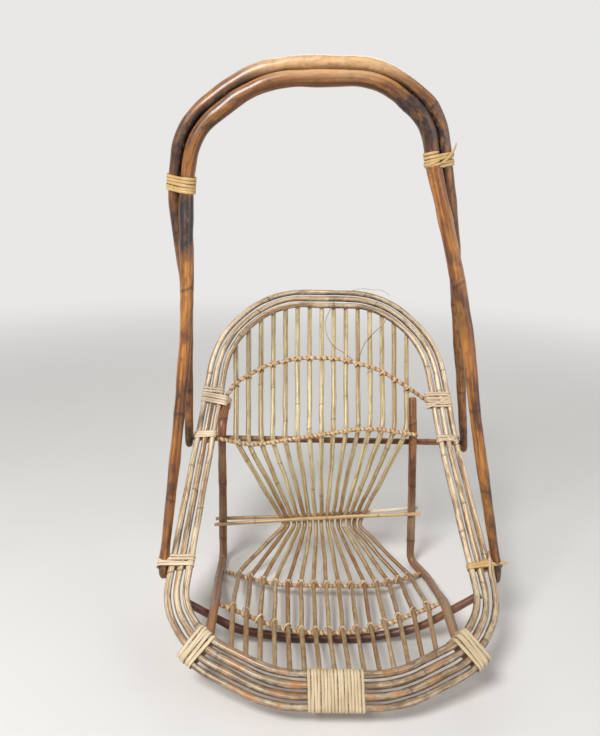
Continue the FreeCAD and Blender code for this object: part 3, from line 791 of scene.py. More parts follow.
@dataclass(frozen=True)
class CaneFinish(Finish):
    """A finish of a cane: pale and dark streaks, blotches, patches, ring nodes and sawn ends. Patches also
    hold painted shade, and the worn colour a painted highlight on the poles' crown.
    """

    # Ranges of the shared grain's thread and mottle that show, how strongly mottle breaks up a mask, the least
    # and most shade that the fibres leave, and the bump's distance and the coat's roughness
    THREAD_RANGE = (0.53, 0.66)
    MOTTLE_RANGE = (0.52, 0.66)
    BREAK_UP = 1.9
    LEAST_SHADE = 0.82
    FIBRE_SHADE = 0.36
    BUMP_DISTANCE = 0.0006
    COAT_ROUGHNESS = 0.26

    # How much of the worn wood and painted highlight shows on average
    WORN_AND_HIGHLIGHT = 0.85

    pale: Colour
    dark: Colour
    blotch: Colour
    # Colour of patches, which on the rim and the poles also paints the shade between canes
    patch: Colour
    ring: Colour
    streak_range: tuple[float, float] = (0.35, 0.65)
    blotch_range: tuple[float, float] = (0.52, 0.70)
    blotch_share: float = 0.6
    ring_share: float = 0.7
    roughness: tuple[float, float] = (0.38, 0.55)
    coat: float = 0.0
    streak_length: float = 0.12
    streak_width: float = 0.004
    blotch_size: float = 0.05
    bump: float = 0.25
    # Colour of bare, worn wood, which on the poles is also the painted highlight on the crown's top
    bare_and_highlight: Colour = paint(196, 160, 112)
    deep_share: float = 0.5
    mottle_share: float = 0.0

    def lay(self, sheet: NodeSheet) -> None:
        """Lays out the nodes: one colour over the other, from streaks to worn wood and the painted highlight.

        Args:
            sheet: Sheet of the material's tree.
        """
        grain = sheet.grain(self.streak_length, self.streak_width, self.blotch_size)
        patch, ring, bare_and_highlight = sheet.marks()
        colour = sheet.mix(sheet.ramp(grain["Streak"], *self.streak_range), self.dark, self.pale)
        layers = (("Thread", self.THREAD_RANGE, self.deep_share, self.ring),
                  ("Blotch", self.blotch_range, self.blotch_share, self.blotch),
                  ("Mottle", self.MOTTLE_RANGE, self.mottle_share, self.blotch))
        for name, ends, strength, tint in layers:
            colour = sheet.mix(sheet.share_of(grain[name], *ends, strength), colour, tint)
        broken = sheet.math("MULTIPLY", sheet.math("SUBTRACT", grain["Mottle"], 0.5), self.BREAK_UP)
        # The patch mask also carries painted shade: on the sides of rim canes and between the poles
        uneven = sheet.math("MULTIPLY", patch, sheet.math("ADD", 1.0, broken), clamp=True)
        colour = sheet.mix(uneven, colour, self.patch)
        colour = sheet.mix(sheet.math("MULTIPLY", ring, self.ring_share), colour, self.ring)
        fibres = sheet.math("MULTIPLY", grain["Fibre"], self.FIBRE_SHADE)
        fibres = sheet.math("ADD", self.LEAST_SHADE, fibres)
        shade = sheet.node("ShaderNodeCombineColor", {0: fibres, 1: fibres, 2: fibres}).outputs[0]
        colour = sheet.mix(1.0, colour, shade, "MULTIPLY")
        # Bare, worn wood, which on the poles' crown top is partly a painted highlight
        worn_and_highlight = sheet.math("MULTIPLY", bare_and_highlight, sheet.math("ADD", self.WORN_AND_HIGHLIGHT, broken), clamp=True)
        colour = sheet.mix(worn_and_highlight, colour, self.bare_and_highlight)
        low, high = self.roughness
        rough = sheet.math("ADD", low, sheet.math("MULTIPLY", grain["Streak"], high - low))
        inputs = {"Base Color": colour, "Roughness": rough, "Coat Weight": self.coat,
                  "Coat Roughness": self.COAT_ROUGHNESS}
        sheet.surface(inputs, self.bump, self.BUMP_DISTANCE, grain["Height"])


@dataclass(frozen=True)
class StripFinish(Finish):
    """A finish of a binding strip: two shades that turns differ by, fine lines along it, and darker edges."""

    # Streak length, streak width and blotch size, then the roughness's least value and its rise with the fibres
    SIZES = (0.06, 0.0012, 0.02)
    LEAST_ROUGHNESS = 0.34
    FIBRE_ROUGHNESS = 0.2

    # Ends of the range of streaks and of blotches that show, each with its strength, then the strength of the
    # edges, and the bump's strength and distance
    STREAKS = (0.5, 0.68, 0.45)
    BLOTCHES = (0.55, 0.75, 0.4)
    EDGES = 0.55
    BUMP = (0.3, 0.0004)

    pale: Colour
    deep: Colour
    edge: Colour

    def lay(self, sheet: NodeSheet) -> None:
        """Lays out the nodes: the turn's own shade, lines, spots and edges.

        Args:
            sheet: Sheet of the material's tree.
        """
        grain = sheet.grain(*self.SIZES)
        tone, edge, _ = sheet.marks()
        colour = sheet.mix(tone, self.pale, self.deep)
        colour = sheet.mix(sheet.share_of(grain["Streak"], *self.STREAKS), colour, self.edge)
        colour = sheet.mix(sheet.share_of(grain["Blotch"], *self.BLOTCHES), colour, self.deep)
        colour = sheet.mix(sheet.math("MULTIPLY", edge, self.EDGES), colour, self.edge)
        rough = sheet.math("MULTIPLY", grain["Fibre"], self.FIBRE_ROUGHNESS)
        rough = sheet.math("ADD", self.LEAST_ROUGHNESS, rough)
        sheet.surface({"Base Color": colour, "Roughness": rough}, *self.BUMP, grain["Height"])


# The poles' bare colour is also the painted highlight on the crown's top, and their patch colour also the painted
# shade between the poles
POLE_FINISH = CaneFinish(
    "lacquered_pole", paint(192, 126, 52), paint(126, 72, 30), paint(66, 32, 18), paint(32, 15, 11),
    paint(42, 20, 13), streak_range=(0.36, 0.64), blotch_range=(0.46, 0.70), blotch_share=0.85, coat=0.4,
    roughness=(0.30, 0.46), streak_length=0.20, streak_width=0.008, blotch_size=0.075, bump=0.4,
    bare_and_highlight=paint(212, 172, 126), deep_share=0.55, mottle_share=0.35)
# Its patch colour is also the painted shade on the sides of each rim cane toward its neighbours
RIM_FINISH = CaneFinish(
    "rim_straw", paint(245, 223, 187), paint(168, 125, 82), paint(120, 84, 52), paint(104, 80, 56),
    paint(80, 50, 32), streak_range=(0.38, 0.54), blotch_range=(0.52, 0.68), blotch_share=0.65, coat=0.4,
    roughness=(0.30, 0.46), streak_length=0.22, bare_and_highlight=paint(176, 118, 64), deep_share=0.75, mottle_share=0.30)
SPOKE_FINISH = CaneFinish(
    "spoke_straw", paint(226, 212, 166), paint(176, 152, 102), paint(146, 108, 66), paint(132, 92, 54),
    paint(102, 68, 40), streak_range=(0.40, 0.58), ring_share=0.65, coat=0.4, roughness=(0.30, 0.46),
    streak_length=0.20, streak_width=0.0032, bare_and_highlight=paint(228, 206, 164), deep_share=0.6, mottle_share=0.2)
RAIL_FINISH = CaneFinish(
    "rail_brown", paint(154, 102, 62), paint(102, 62, 38), paint(70, 42, 29), paint(160, 134, 100),
    paint(54, 30, 21), blotch_share=0.75, coat=0.2, streak_length=0.14, streak_width=0.005, mottle_share=0.45)
DARK_FINISH = CaneFinish(
    "cross_pole_dark", paint(104, 58, 42), paint(68, 36, 27), paint(44, 24, 20), paint(172, 124, 90),
    paint(40, 21, 17), blotch_share=0.7, coat=0.2, streak_length=0.14, streak_width=0.005, mottle_share=0.4)
RIB_FINISH = CaneFinish(
    "rib_core", paint(186, 146, 102), paint(132, 90, 60), paint(98, 62, 42), paint(98, 62, 42),
    paint(90, 56, 36), streak_length=0.1, streak_width=0.003, blotch_size=0.03)
BAR_FINISH = CaneFinish(
    "waist_bar_pale", paint(230, 202, 152), paint(192, 154, 102), paint(152, 108, 68), paint(138, 98, 66),
    paint(120, 82, 52), coat=0.2, streak_length=0.15, streak_width=0.003, bare_and_highlight=paint(234, 224, 200),
    mottle_share=0.25)
PALE_STRIP = StripFinish("strip_pale", paint(238, 218, 188), paint(206, 172, 134), paint(130, 92, 62))
GOLD_STRIP = StripFinish("strip_gold", paint(224, 190, 132), paint(188, 144, 84), paint(108, 70, 36))
WRAP_STRIP = StripFinish("strip_front", paint(228, 210, 174), paint(194, 162, 116), paint(108, 80, 54))
RIB_STRIP = StripFinish("strip_rib", paint(238, 216, 174), paint(202, 148, 92), paint(120, 76, 42))
FIBRE_STRIP = StripFinish("strip_fibre", paint(206, 140, 90), paint(160, 90, 54), paint(110, 60, 40))


# Pieces of one cane

def make_cane(name: str, node: str, slot: Slot, finish: Finish, body: CaneBody, course: Course) -> None:
    """Makes a piece that is one cane.

    Args:
        name: Name of the piece.
        node: CAD node that it replaces.
        slot: Material slot of the record.
        finish: Its finish.
        body: Its body.
        course: Line that it follows.
    """
    shell = Shell()
    body.add_to(shell, course)
    shell.piece(name, slot, finish.material(), (node,))


# Rim

@dataclass
class RimBand:
    """The closed band of three canes round the back, arms and seat.

    A length laid_ is the CAD cane's, which sets where things lie. The drawn radius beside it is the natural one.
    Rows hold corners as shares of the sizes, here those of the right half from the back to the front. A slope
    says how steeply the band stands from there on, in degrees, and a bend share how much of a run its arc takes.
    """

    half_rows: Rows = ((0.460, 0.566, 0.5560), (0.862, 0.450, 0.4680), (0.958, 0.228, 0.2930),
                        (1.024, -0.352, 0.1100), (0.840, -0.489, 0.0850), (0.360, -0.592, 0.0580))
    slopes: tuple[float, ...] = (55.0, 55.0, 32.0, 35.0, 40.0, 45.0)
    back_slope: float = 55.0
    front_slope: float = 45.0
    bend_shares: tuple[float, ...] = (0.48, 0.45, 0.20, 0.42, 0.46, 0.46)
    radius: float = 0.0077
    laid_radius: float = 0.00775
    pitch: float = 0.0194
    under_radius: float = 0.0068
    under_offset: float = 0.0194 + 0.00775 + 0.007 + 0.0039
    half_gap: float = 0.0003
    proud_end: tuple[float, float, float] = (-0.030, 0.010, 0.012)
    proud_bend: tuple[float, float, float] = (0.010, 0.003, 0.004)

    def __post_init__(self) -> None:
        """Works out the corners of the middle cane and the outward direction of each run."""
        half = place(self.half_rows)
        self.corners = np.concatenate([half, mirrored(half[::-1])])
        self.run_slopes = list(self.slopes) + list(self.slopes[-2::-1]) + [self.back_slope]
        ways = unit(np.roll(self.corners, -1, axis=0) - self.corners)
        self.outward = unit(np.cross([self.normal(slope) for slope in self.run_slopes], ways))
        self.front_run = len(self.half_rows) - 1

    @staticmethod
    def normal(slope: float) -> np.ndarray:
        """The way the band faces where its slope is given in degrees."""
        return np.array([0.0, -math.sin(math.radians(slope)), math.cos(math.radians(slope))])

    def path(self, offset: float) -> tuple[np.ndarray, list[float]]:
        """Corners and radii of a cane at an offset outside the middle one, from the front all round.

        A corner moves by the sum of the two outward directions beside it, times the offset over one plus
        their product, which keeps it the same distance from both runs.

        Args:
            offset: Distance outside the middle cane.

        Returns:
            Corners, and the radius at each inner one.
        """
        count = len(self.corners)
        order = [(self.front_run + 1 + k) % count for k in range(count)]
        first, second = self.corners[self.front_run], self.corners[self.front_run + 1]
        middle = (first + second) / 2
        shares = list(self.bend_shares[::-1]) + list(self.bend_shares)
        radii = bend_radii(np.concatenate([[middle], self.corners[order], [middle]]), shares)
        before, after = np.roll(self.outward, 1, axis=0), self.outward
        product = (before * after).sum(1, keepdims=True)
        moved = (self.corners + (before + after) * offset / (1 + product))[order]
        start = middle + self.outward[self.front_run] * offset
        shift = unit(second - first) * self.half_gap
        corners = np.concatenate([[start + shift], moved, [start - shift]])
        return corners, [radius + offset for radius in radii]

    def station(self, run: int, share: float, side: int) -> Station:
        """A place on a run of the middle cane."""
        start, end = self.corners[run], self.corners[run + 1]
        return self.sided(start + (end - start) * share, unit(end - start), self.outward[run], side)

    def tie(self, place_on_half: tuple[int, float], side: int) -> Station:
        """Where a lashing named by its run and share binds the rim."""
        return self.station(*place_on_half, side)

    def round_inner(self, reach: float, lean: float) -> tuple[float, float]:
        """How far outward and toward the sitter a cane lies that is a reach away from the inner one."""
        return -(self.pitch + reach * math.cos(lean)), reach * math.sin(lean)

    def bend_station(self, corner: int, side: int) -> Station:
        """The middle of the bend at a corner of the middle cane.

        It lies inside the corner by the tangent's length times the tangent of a quarter of the turn.

        Args:
            corner: Number of the corner on the right half.
            side: 1 for the right and -1 for the left.

        Returns:
            The station.
        """
        middle = self.corners[corner]
        runs = [middle - self.corners[corner - 1], self.corners[corner + 1] - middle]
        before, after = unit(runs[0]), unit(runs[1])
        half_turn = math.acos(float(before @ after)) / 2
        shorter = min(np.linalg.norm(run) for run in runs)
        inset = self.bend_shares[corner] * shorter * math.tan(half_turn / 2)
        outward = unit(self.outward[corner - 1] + self.outward[corner])
        return self.sided(middle + unit(after - before) * inset, unit(before + after), outward, side)

    @staticmethod
    def sided(point: np.ndarray, along: np.ndarray, outward: np.ndarray, side: int) -> Station:
        """A station on the right, or its mirror image on the left.

        Args:
            point: Its place on the right.
            along: The way along the cane there.
            outward: The way outward there.
            side: 1 for the right and -1 for the left.

        Returns:
            The station.
        """
        facing = unit(np.cross(along, outward))
        parts = (point, along, outward, facing)
        return Station(*(mirrored(part) for part in parts)) if side < 0 else Station(*parts)

    def body(self, seed: int, ends: tuple[CaneEnd, CaneEnd] = (CaneEnd.SAWN, CaneEnd.SAWN),
             radius: float | None = None) -> CaneBody:
        """A rim cane's body, with ring nodes a hand apart and greyer, browner patches at the front.

        Args:
            seed: Seed of its nodes, spots and swelling.
            ends: How it ends.
            radius: Its radius, where it isn't the band's.

        Returns:
            The body.
        """
        chance = np.random.default_rng(seed)
        nodes = tuple(np.cumsum(chance.uniform(0.19, 0.34, 14)))
        patches = patch_field([(0, -0.37, 0.12, 0.66), (1, 0.34, 0.05, 0.40), (1, -0.22, 0.08, 0.30),
                               (-1, 0.10, 0.10, 0.15)], axis=1)
        across = patch_field([(0, spot, chance.uniform(0.006, 0.016), 0.55) for spot in
                              chance.uniform(-0.33, 0.33, 9)], axis=0)
        at_front = patch_field([(0, -0.38, 0.12, 1.0)], axis=1)

        def spots(points: np.ndarray) -> np.ndarray:
            """Orange spots on the front canes alone: the product of bands across and a band at the front."""
            return across(points) * at_front(points)

        # Each rim cane gets painted shade on its sides toward its neighbours
        return CaneBody(radius or self.radius, swell=0.05, oval=0.05, nodes=nodes, node_rise=0.06,
                        node_width=0.007, sides=16, seed=seed, ends=ends, patches=patches, wear_and_highlight=spots, painted_side_shade=0.75,
                        waver=0.0007)

    def make(self, name: str, node: str, line: np.ndarray, body: CaneBody) -> None:
        """Makes one cane of the rim."""
        make_cane(name, node, Slot.RIM, RIM_FINISH, body, Course(line, self.normal(self.front_slope)))

    def build(self) -> None:
        """Makes the three canes, the pieced end of the outer one, and the two canes under the front."""
        inner, centre = (bent_line(*self.path(offset), RIM_STEP) for offset in (-self.pitch, 0.0))
        self.make("rim_cane_inside", "rim_cane_inner", inner, self.body(21))
        self.make("rim_cane_centre", "rim_cane_middle", centre, self.body(22))
        self.build_outer()
        self.build_under()

    def build_outer(self) -> None:
        """The outer cane, whose front part starts at the right leg lashing with a proud, worn end."""
        corners, radii = self.path(self.pitch)
        splice = self.tie(LEG_TIE, 1).moved(outward=self.pitch)
        last = 2 * len(self.half_rows) - 3
        before = np.concatenate([corners[:last + 1], [splice.point(-self.half_gap)]])
        line = bent_line(before, radii[:last], RIM_STEP)
        self.make("rim_cane_outside", "rim_cane_outer", line, self.body(24))
        proud = [splice.point(*self.proud_end), splice.point(*self.proud_bend)]
        after = np.concatenate([proud, corners[last + 1:]])
        line = bent_line(after, bend_radii(after, [0.45])[:1] + radii[last:], RIM_STEP)
        body = self.body(25, (CaneEnd.ROUND, CaneEnd.SAWN))
        self.make("rim_cane_outside_front", "rim_cane_outer_front", line, body)

    def build_under(self) -> None:
        """Two thinner canes below the front, each from the front wrap to a corner lashing."""
        corners, radii = self.path(self.under_offset)
        ways = ((-1, "left", corners[:4], radii[:2]), (1, "right", corners[:-5:-1], radii[:-3:-1]))
        for side, name, rows, bends in ways:
            line = bent_line(rows, bends, RIM_STEP)
            corner = self.bend_station(FRONT_CORNER, side).centre
            last = int(np.argmin(np.linalg.norm(line - corner, axis=1)))
            body = self.body(27 + side, (CaneEnd.SAWN, CaneEnd.ROUND), self.under_radius)
            self.make("under_cane_" + name, "front_under_cane_" + name, line[:last + 3], body)


# Hanger

@dataclass(frozen=True)
class PoleLook:
    """How one pole of the arch looks: its names, dark patches, ring nodes, thinner feet, and pale top, which
    is partly worn wood and partly a painted highlight.
    """

    name: str
    node: str
    seed: int
    patches: tuple[Band, ...]
    leg_nodes: dict[int, tuple[float, ...]]
    crown_nodes: tuple[float, ...]
    feet: tuple[float, float]
    worn_and_highlight: Band


# The last band of each pole is its pale crown top: partly worn wood, partly a painted highlight
FRONT_POLE = PoleLook(
    "lacquered_pole_front", "hanger_pole_front", 51,
    ((-1, 0.935, 0.055, 1.0), (-1, 0.875, 0.030, 0.60), (-1, 1.10, 0.06, 0.55), (1, 1.12, 0.06, 0.85),
     (1, 0.74, 0.05, 0.45), (-1, 0.55, 0.07, 0.25), (-1, 0.14, 0.05, 0.85), (1, 0.16, 0.06, 0.85),
     (1, 0.34, 0.06, 0.35), (0, 1.17, 0.035, 0.30)),
    {-1: (0.515, 0.335, 0.78), 1: (0.546, 0.36, 0.80)}, (0.13, 0.15), (0.92, 0.90), (0, 1.215, 0.013, 0.70))
REAR_POLE = PoleLook(
    "lacquered_pole_rear", "hanger_pole_rear", 57,
    ((-1, 0.90, 0.06, 0.75), (-1, 0.60, 0.16, 0.55), (1, 0.62, 0.18, 0.60), (1, 0.93, 0.05, 0.55),
     (-1, 0.36, 0.06, 0.80), (1, 0.38, 0.06, 0.80), (-1, 1.07, 0.07, 0.70), (1, 1.08, 0.07, 0.70),
     (0, 1.16, 0.04, 0.35)),
    {-1: (0.50, 0.70, 0.90), 1: (0.52, 0.74)}, (-0.08, 0.19), (0.86, 0.82), (0, 1.235, 0.026, 0.85))


@dataclass
class Hanger:
    """The arch of two bent, lacquered poles, thick at the crown and thin at the feet.

    The crown's rows hold X and Z of the front pole from left to right, and those of a leg run up from its foot.
    Wall is the room that a strip takes between two canes that it binds.
    """

    # Depth of the painted shade between the poles, and how strong it is where they touch
    CREVICE = 0.014
    CREVICE_SHADE = 0.85

    # Shares of the height above which a pole is thick and above which it is the crown, and how far to the side
    # a leg is sought
    THICK = 0.70
    CROWN = 0.93
    LEG_SIDE = 0.2

    rim: RimBand
    crown_rows: Rows = ((-0.985, 0.790), (-0.925, 0.8795), (-0.520, 0.961), (0.207, 0.967), (0.510, 0.904),
                         (0.565, 0.835))
    crown_depth: float = 0.012
    front_left: Rows = ((-1.020, -0.175, 0.400), (-0.970, -0.090, 0.580))
    front_right: Rows = ((0.900, -0.170, 0.430), (0.830, -0.110, 0.570), (0.680, -0.045, 0.730))
    rear_left: Rows = ((-1.030, 0.110, 0.600),)
    rear_right: Rows = ((0.820, 0.095, 0.660),)
    bend_share: float = 0.46
    radius: float = 0.0160
    leg_radius: float = 0.0118
    crossbar_radius: float = 0.008
    wall: float = 0.0026
    gap: float = 0.0003
    front_foot_end: tuple[float, float, float] = (0.0, -0.016, -0.030)
    rear_foot_end: tuple[float, float, float] = (0.0, 0.0, -0.014)

    def __post_init__(self) -> None:
        """Lays out both poles."""
        rim = self.rim
        mids = {side: rim.bend_station(ARM_CORNER, side) for side in SIDES}
        legs = {side: rim.tie(LEG_TIE, side) for side in SIDES}
        bar_back = rim.laid_radius + self.wall + self.crossbar_radius
        self.bar_ends = [mids[side].point(facing=-bar_back) for side in SIDES]
        front = {side: self.front_foot(legs[side]) for side in SIDES}
        rear = {side: self.rear_foot(mids[side]) for side in SIDES}
        crown = place([(x, -self.crown_depth, z) for x, z in self.crown_rows])
        spacing = 2 * self.radius + self.gap
        spread = math.sqrt(spacing ** 2 - (2 * self.crown_depth * DEPTH) ** 2)
        behind = self.arch_offset(crown, spread) + Y_AXIS * (2 * self.crown_depth * DEPTH)
        self.front_corners = np.concatenate([front[-1], place(self.front_left), crown,
                                             place(self.front_right)[::-1], front[1][::-1]])
        self.rear_corners = np.concatenate([rear[-1], place(self.rear_left), behind,
                                            place(self.rear_right)[::-1], rear[1][::-1]])
        self.front_line = bent_by_shares(self.front_corners, self.bend_share)
        radii = bend_radii(self.front_corners, [self.bend_share] * (len(self.front_corners) - 2))
        rear_radii = bend_radii(self.rear_corners, [self.bend_share] * (len(self.rear_corners) - 2))
        for i in range(1, len(self.crown_rows) - 1):
            rear_radii[1 + len(self.rear_left) + i] = radii[1 + len(self.front_left) + i] + spread
        self.rear_line = bent_line(self.rear_corners, rear_radii)

    def front_foot(self, at: Station) -> np.ndarray:
        """Where a front leg passes the outside of the arm, with its foot a little lower and further forward."""
        seat = at.point(outward=self.rim.pitch + self.rim.laid_radius + self.gap + self.leg_radius)
        return np.array([seat + place(self.front_foot_end), seat])

    def crossbar_point(self, x: float) -> np.ndarray:
        """The middle of the cross bar at a given x."""
        left, right = self.bar_ends
        return left + (right - left) * ((x - left[0]) / (right[0] - left[0]))

    def rear_foot(self, at: Station) -> np.ndarray:
        """Where a rear leg stands in front of the cross bar, with its rounded end just below.

        Args:
            at: Middle of the bend of the arm.

        Returns:
            The foot's end, and its place at the cross bar.
        """
        beside = at.point(outward=self.rim.pitch + self.rim.laid_radius + self.wall + self.leg_radius)
        seat = self.crossbar_point(beside[0]) - Y_AXIS * (self.crossbar_radius + self.leg_radius + self.gap)
        return np.array([seat + place(self.rear_foot_end), seat])

    @staticmethod
    def arch_offset(corners: np.ndarray, offset: float) -> np.ndarray:
        """Corners of an arch moved outward in its own plane, the same distance from both runs beside them.

        A corner moves by the sum of the two normals beside it, times the offset over one plus their product.

        Args:
            corners: Corners of the arch.
            offset: Distance to move.

        Returns:
            The moved corners.
        """
        ways = unit(np.diff(corners, axis=0))
        normals = np.stack([-ways[:, 2], np.zeros(len(ways)), ways[:, 0]], axis=-1)
        before, after = np.concatenate([normals[:1], normals]), np.concatenate([normals, normals[-1:]])
        return corners + (before + after) * offset / (1 + (before * after).sum(1, keepdims=True))

    def taper(self, line: np.ndarray, share: tuple[float, float]) -> Rows:
        """Shares of the crown's radius along a pole: thin feet, and the full radius between two heights.

        Args:
            line: The pole's line.
            share: Shares of the radius at the left and right feet.

        Returns:
            Pairs of share of length and share of radius.
        """
        distance = travelled(line)
        top = distance / distance[-1]
        high = line[:, 2] > self.THICK * HEIGHT
        first, last = top[high][0], top[high][-1]
        thin = self.leg_radius / self.radius
        return ((0.0, thin * share[0]), (first * 0.55, thin * 1.04), (first, 0.93), (first + 0.10, 1.0),
                (last - 0.08, 1.02), (last, 1.0), (last + (1 - last) * 0.5, thin * 1.06), (1.0, thin * share[1]))

    def node_places(self, line: np.ndarray, look: PoleLook) -> tuple[float, ...]:
        """Distances along a pole of its ring nodes.

        Args:
            line: The pole's line.
            look: Its look, with heights of nodes on each leg and x places of nodes on the crown.

        Returns:
            One distance for each node.
        """
        distance = travelled(line)
        found = []
        for side, levels in look.leg_nodes.items():
            part = line[:, 0] * side > self.LEG_SIDE
            found += [distance[part][np.argmin(np.abs(line[part, 2] - level))] for level in levels]
        top = line[:, 2] > self.CROWN * HEIGHT
        found += [distance[top][np.argmin(np.abs(line[top, 0] - x))] for x in look.crown_nodes]
        return tuple(float(value) for value in found)

    def with_crevice_shade(self, mask: Mask, other: np.ndarray) -> Mask:
        """Adds painted shade between the poles to a mask.

        It is full where a point touches the other pole and fades with the distance from its skin.

        Args:
            mask: Mask without it.
            other: Line of the other pole.

        Returns:
            A function from points to the mask.
        """
        def both(points: np.ndarray) -> np.ndarray:
            """The mask with the painted shade at each point.

            Args:
                points: Points, with their coordinates on the last axis.

            Returns:
                Values from 0 to 1.
            """
            rows = points.reshape(-1, 3)
            apart = np.linalg.norm(rows[:, None, :] - other[None, ::3, :], axis=-1).min(1) - self.radius
            near = np.clip(1 - apart / self.CREVICE, 0, 1).reshape(points.shape[:-1])
            return np.clip(mask(points) + self.CREVICE_SHADE * near, 0, 1)

        return both

    def build(self) -> None:
        """Makes both poles, with burnt, darker patches where they were heated to bend, and painted shade between
        them.
        """
        poles = ((FRONT_POLE, self.front_line, self.rear_line), (REAR_POLE, self.rear_line, self.front_line))
        for look, line, other in poles:
            # The patch mask gets painted shade in the crevice where the poles touch
            patches = self.with_crevice_shade(patch_field(look.patches), other)
            body = CaneBody(self.radius, self.taper(line, look.feet), swell=0.05, oval=0.05,
                            nodes=self.node_places(line, look), node_rise=0.05, node_width=0.011, sides=20,
                            seed=look.seed, ends=(CaneEnd.ROUND, CaneEnd.ROUND), patches=patches,
                            # The pale crown top is partly worn wood and partly a painted highlight
                            wear_and_highlight=patch_field([look.worn_and_highlight]))
            make_cane(look.name, look.node, Slot.HANGER, POLE_FINISH, body, Course(line, Y_AXIS))


# Rails, cross pole and cross bar

@dataclass
class UnderFrame:
    """The bent rails behind and under the sitter, the pole across below them and the bar across the arms.

    The floor place is where a rail leaves the floor, and the crossing share where it passes over the pole. The
    upright, heel and free top are those of the right rail, which stands apart from the rim.
    """

    # Places of the shoulder and the heel among a rail's corners
    SHOULDER = 1
    HEEL = 2

    rim: RimBand
    hanger: Hanger
    rail_radius: float = 0.0103
    laid_radius: float = 0.0105
    cross_radius: float = 0.0095
    cross_rows: Rows = ((-0.950, -0.323, 0.092), (-0.620, -0.298, 0.026), (-0.280, -0.275, 0.0),
                         (0.250, -0.272, 0.0), (0.620, -0.275, 0.026), (1.000, -0.289, 0.104))
    cross_share: float = 0.30
    rail_shares: tuple[float, ...] = (0.25, 0.25, 0.40, 0.10)
    upright_share: float = 0.668
    heel_share: float = 0.737
    shoulder_rise: float = 0.034
    free_top: tuple[float, float, float] = (0.655, 0.242, 0.386)
    floor_place: tuple[float, float] = (0.830, 0.090)
    crossing_share: float = 0.775
    bar_reach: tuple[float, float] = (-1.110, 1.120)

    def __post_init__(self) -> None:
        """Lays out the cross pole and both rails."""
        self.cross_corners = place(self.cross_rows) + Z_AXIS * self.cross_radius
        self.cross_line = bent_by_shares(self.cross_corners, self.cross_share)
        self.rails = {side: self.rail_corners(side) for side in SIDES}
        self.rail_lines = {side: bent_by_shares(self.rails[side], list(self.rail_shares)) for side in SIDES}

    def rail_corners(self, side: int) -> np.ndarray:
        """A rail's top, shoulder, heel on the floor and front end.

        The left top lies behind the upper lashing, and the right one ends free above the cross bar.

        Args:
            side: 1 for the right rail and -1 for the left one.

        Returns:
            Its corners from the top on.
        """
        rim, hanger = self.rim, self.hanger
        reach = rim.laid_radius + hanger.wall + self.laid_radius + RAIL_SLACK
        top = rim.tie(UPPER_TIE, side).point(0.0, *rim.round_inner(reach, -RAIL_LEAN))
        beside = rim.bend_station(ARM_CORNER, side).point(
            outward=-(rim.pitch + rim.laid_radius + hanger.wall + self.laid_radius + 2 * RAIL_SLACK))
        upright_x, heel_x = beside[0], beside[0]
        if side > 0:
            top = place(self.free_top)
            upright_x, heel_x = self.upright_share * HALF_WIDTH, self.heel_share * HALF_WIDTH
        upright = hanger.crossbar_point(upright_x)
        upright = upright - Y_AXIS * (hanger.crossbar_radius + self.laid_radius + hanger.gap)
        shoulder = upright + Z_AXIS * (self.shoulder_rise * HEIGHT)
        heel = np.array([heel_x, upright[1], self.laid_radius])
        floor_end = place([side * self.floor_place[0], self.floor_place[1], 0]) + Z_AXIS * self.laid_radius
        crossing = at_x(self.cross_line, side * self.crossing_share * HALF_WIDTH)
        pole_run = self.cross_corners[-1 if side > 0 else 0] - self.cross_corners[-2 if side > 0 else 1]
        normal = unit(np.cross(pole_run, floor_end - crossing))
        lift = (self.cross_radius + self.laid_radius + hanger.gap) / abs(normal[2])
        below = rim.laid_radius + hanger.wall + self.laid_radius
        front = rim.bend_station(FRONT_CORNER, side).point(outward=-rim.pitch, facing=-below)
        return np.array([top, shoulder, heel, floor_end, crossing + Z_AXIS * lift, front])

    def build(self) -> None:
        """Makes the rails, the cross pole and the cross bar."""
        patches = patch_field([(-1, 0.30, 0.035, 0.30), (-1, 0.16, 0.05, 0.45), (0, 0.03, 0.03, 0.30),
                               (1, 0.14, 0.06, 0.75)])
        for side, name in zip(SIDES, ("left", "right")):
            body = CaneBody(self.rail_radius, swell=0.04, oval=0.05, nodes=(0.07, 0.24, 0.41, 0.60, 0.78),
                            node_rise=0.07, node_width=0.008, sides=16, seed=70 + side,
                            ends=(CaneEnd.ROUND, CaneEnd.SAWN), patches=patches, waver=0.0006)
            make_cane("bent_rail_" + name, "seat_rail_" + name, Slot.FRAME, RAIL_FINISH, body,
                      Course(self.rail_lines[side], X_AXIS))
        body = CaneBody(self.cross_radius, ((0, 0.9), (0.3, 1.0), (1, 0.92)), swell=0.03, oval=0.04,
                        nodes=(0.12, 0.33, 0.52), node_rise=0.07, node_width=0.008, sides=16, seed=75,
                        patches=patch_field([(1, 0.10, 0.06, 0.35)]))
        course = Course(self.cross_line, Z_AXIS)
        make_cane("dark_cross_pole", "seat_cross_pole", Slot.FRAME, DARK_FINISH, body, course)
        ends = np.array([self.hanger.crossbar_point(share * HALF_WIDTH) for share in self.bar_reach])
        body = CaneBody(self.hanger.crossbar_radius * 0.97, swell=0.03, nodes=(0.16, 0.45, 0.63), node_rise=0.07,
                        node_width=0.007, sides=16, seed=78, ends=(CaneEnd.ROUND, CaneEnd.ROUND),
                        patches=patch_field([(0, -0.24, 0.09, 0.75)], axis=0))
        course = Course(bent_line(ends, []), Z_AXIS)
        make_cane("arm_cross_bar", "back_crossbar", Slot.FRAME, RAIL_FINISH, body, course)


# Spokes and ribs

@dataclass(frozen=True)
class RibLook:
    """A rib's CAD node, the pitch and width of its spiral strip, and whether the spokes pass over it."""

    node: str
    pitch: float
    width: float
    below_spokes: bool


RIBS = {"upper": RibLook("upper_back_rib", 0.0165, 0.0105, False),
        "middle": RibLook("middle_back_rib", 0.0110, 0.0080, False),
        "rear": RibLook("rear_seat_rib", 0.0125, 0.0085, True),
        "front": RibLook("front_seat_rib", 0.0125, 0.0085, True)}


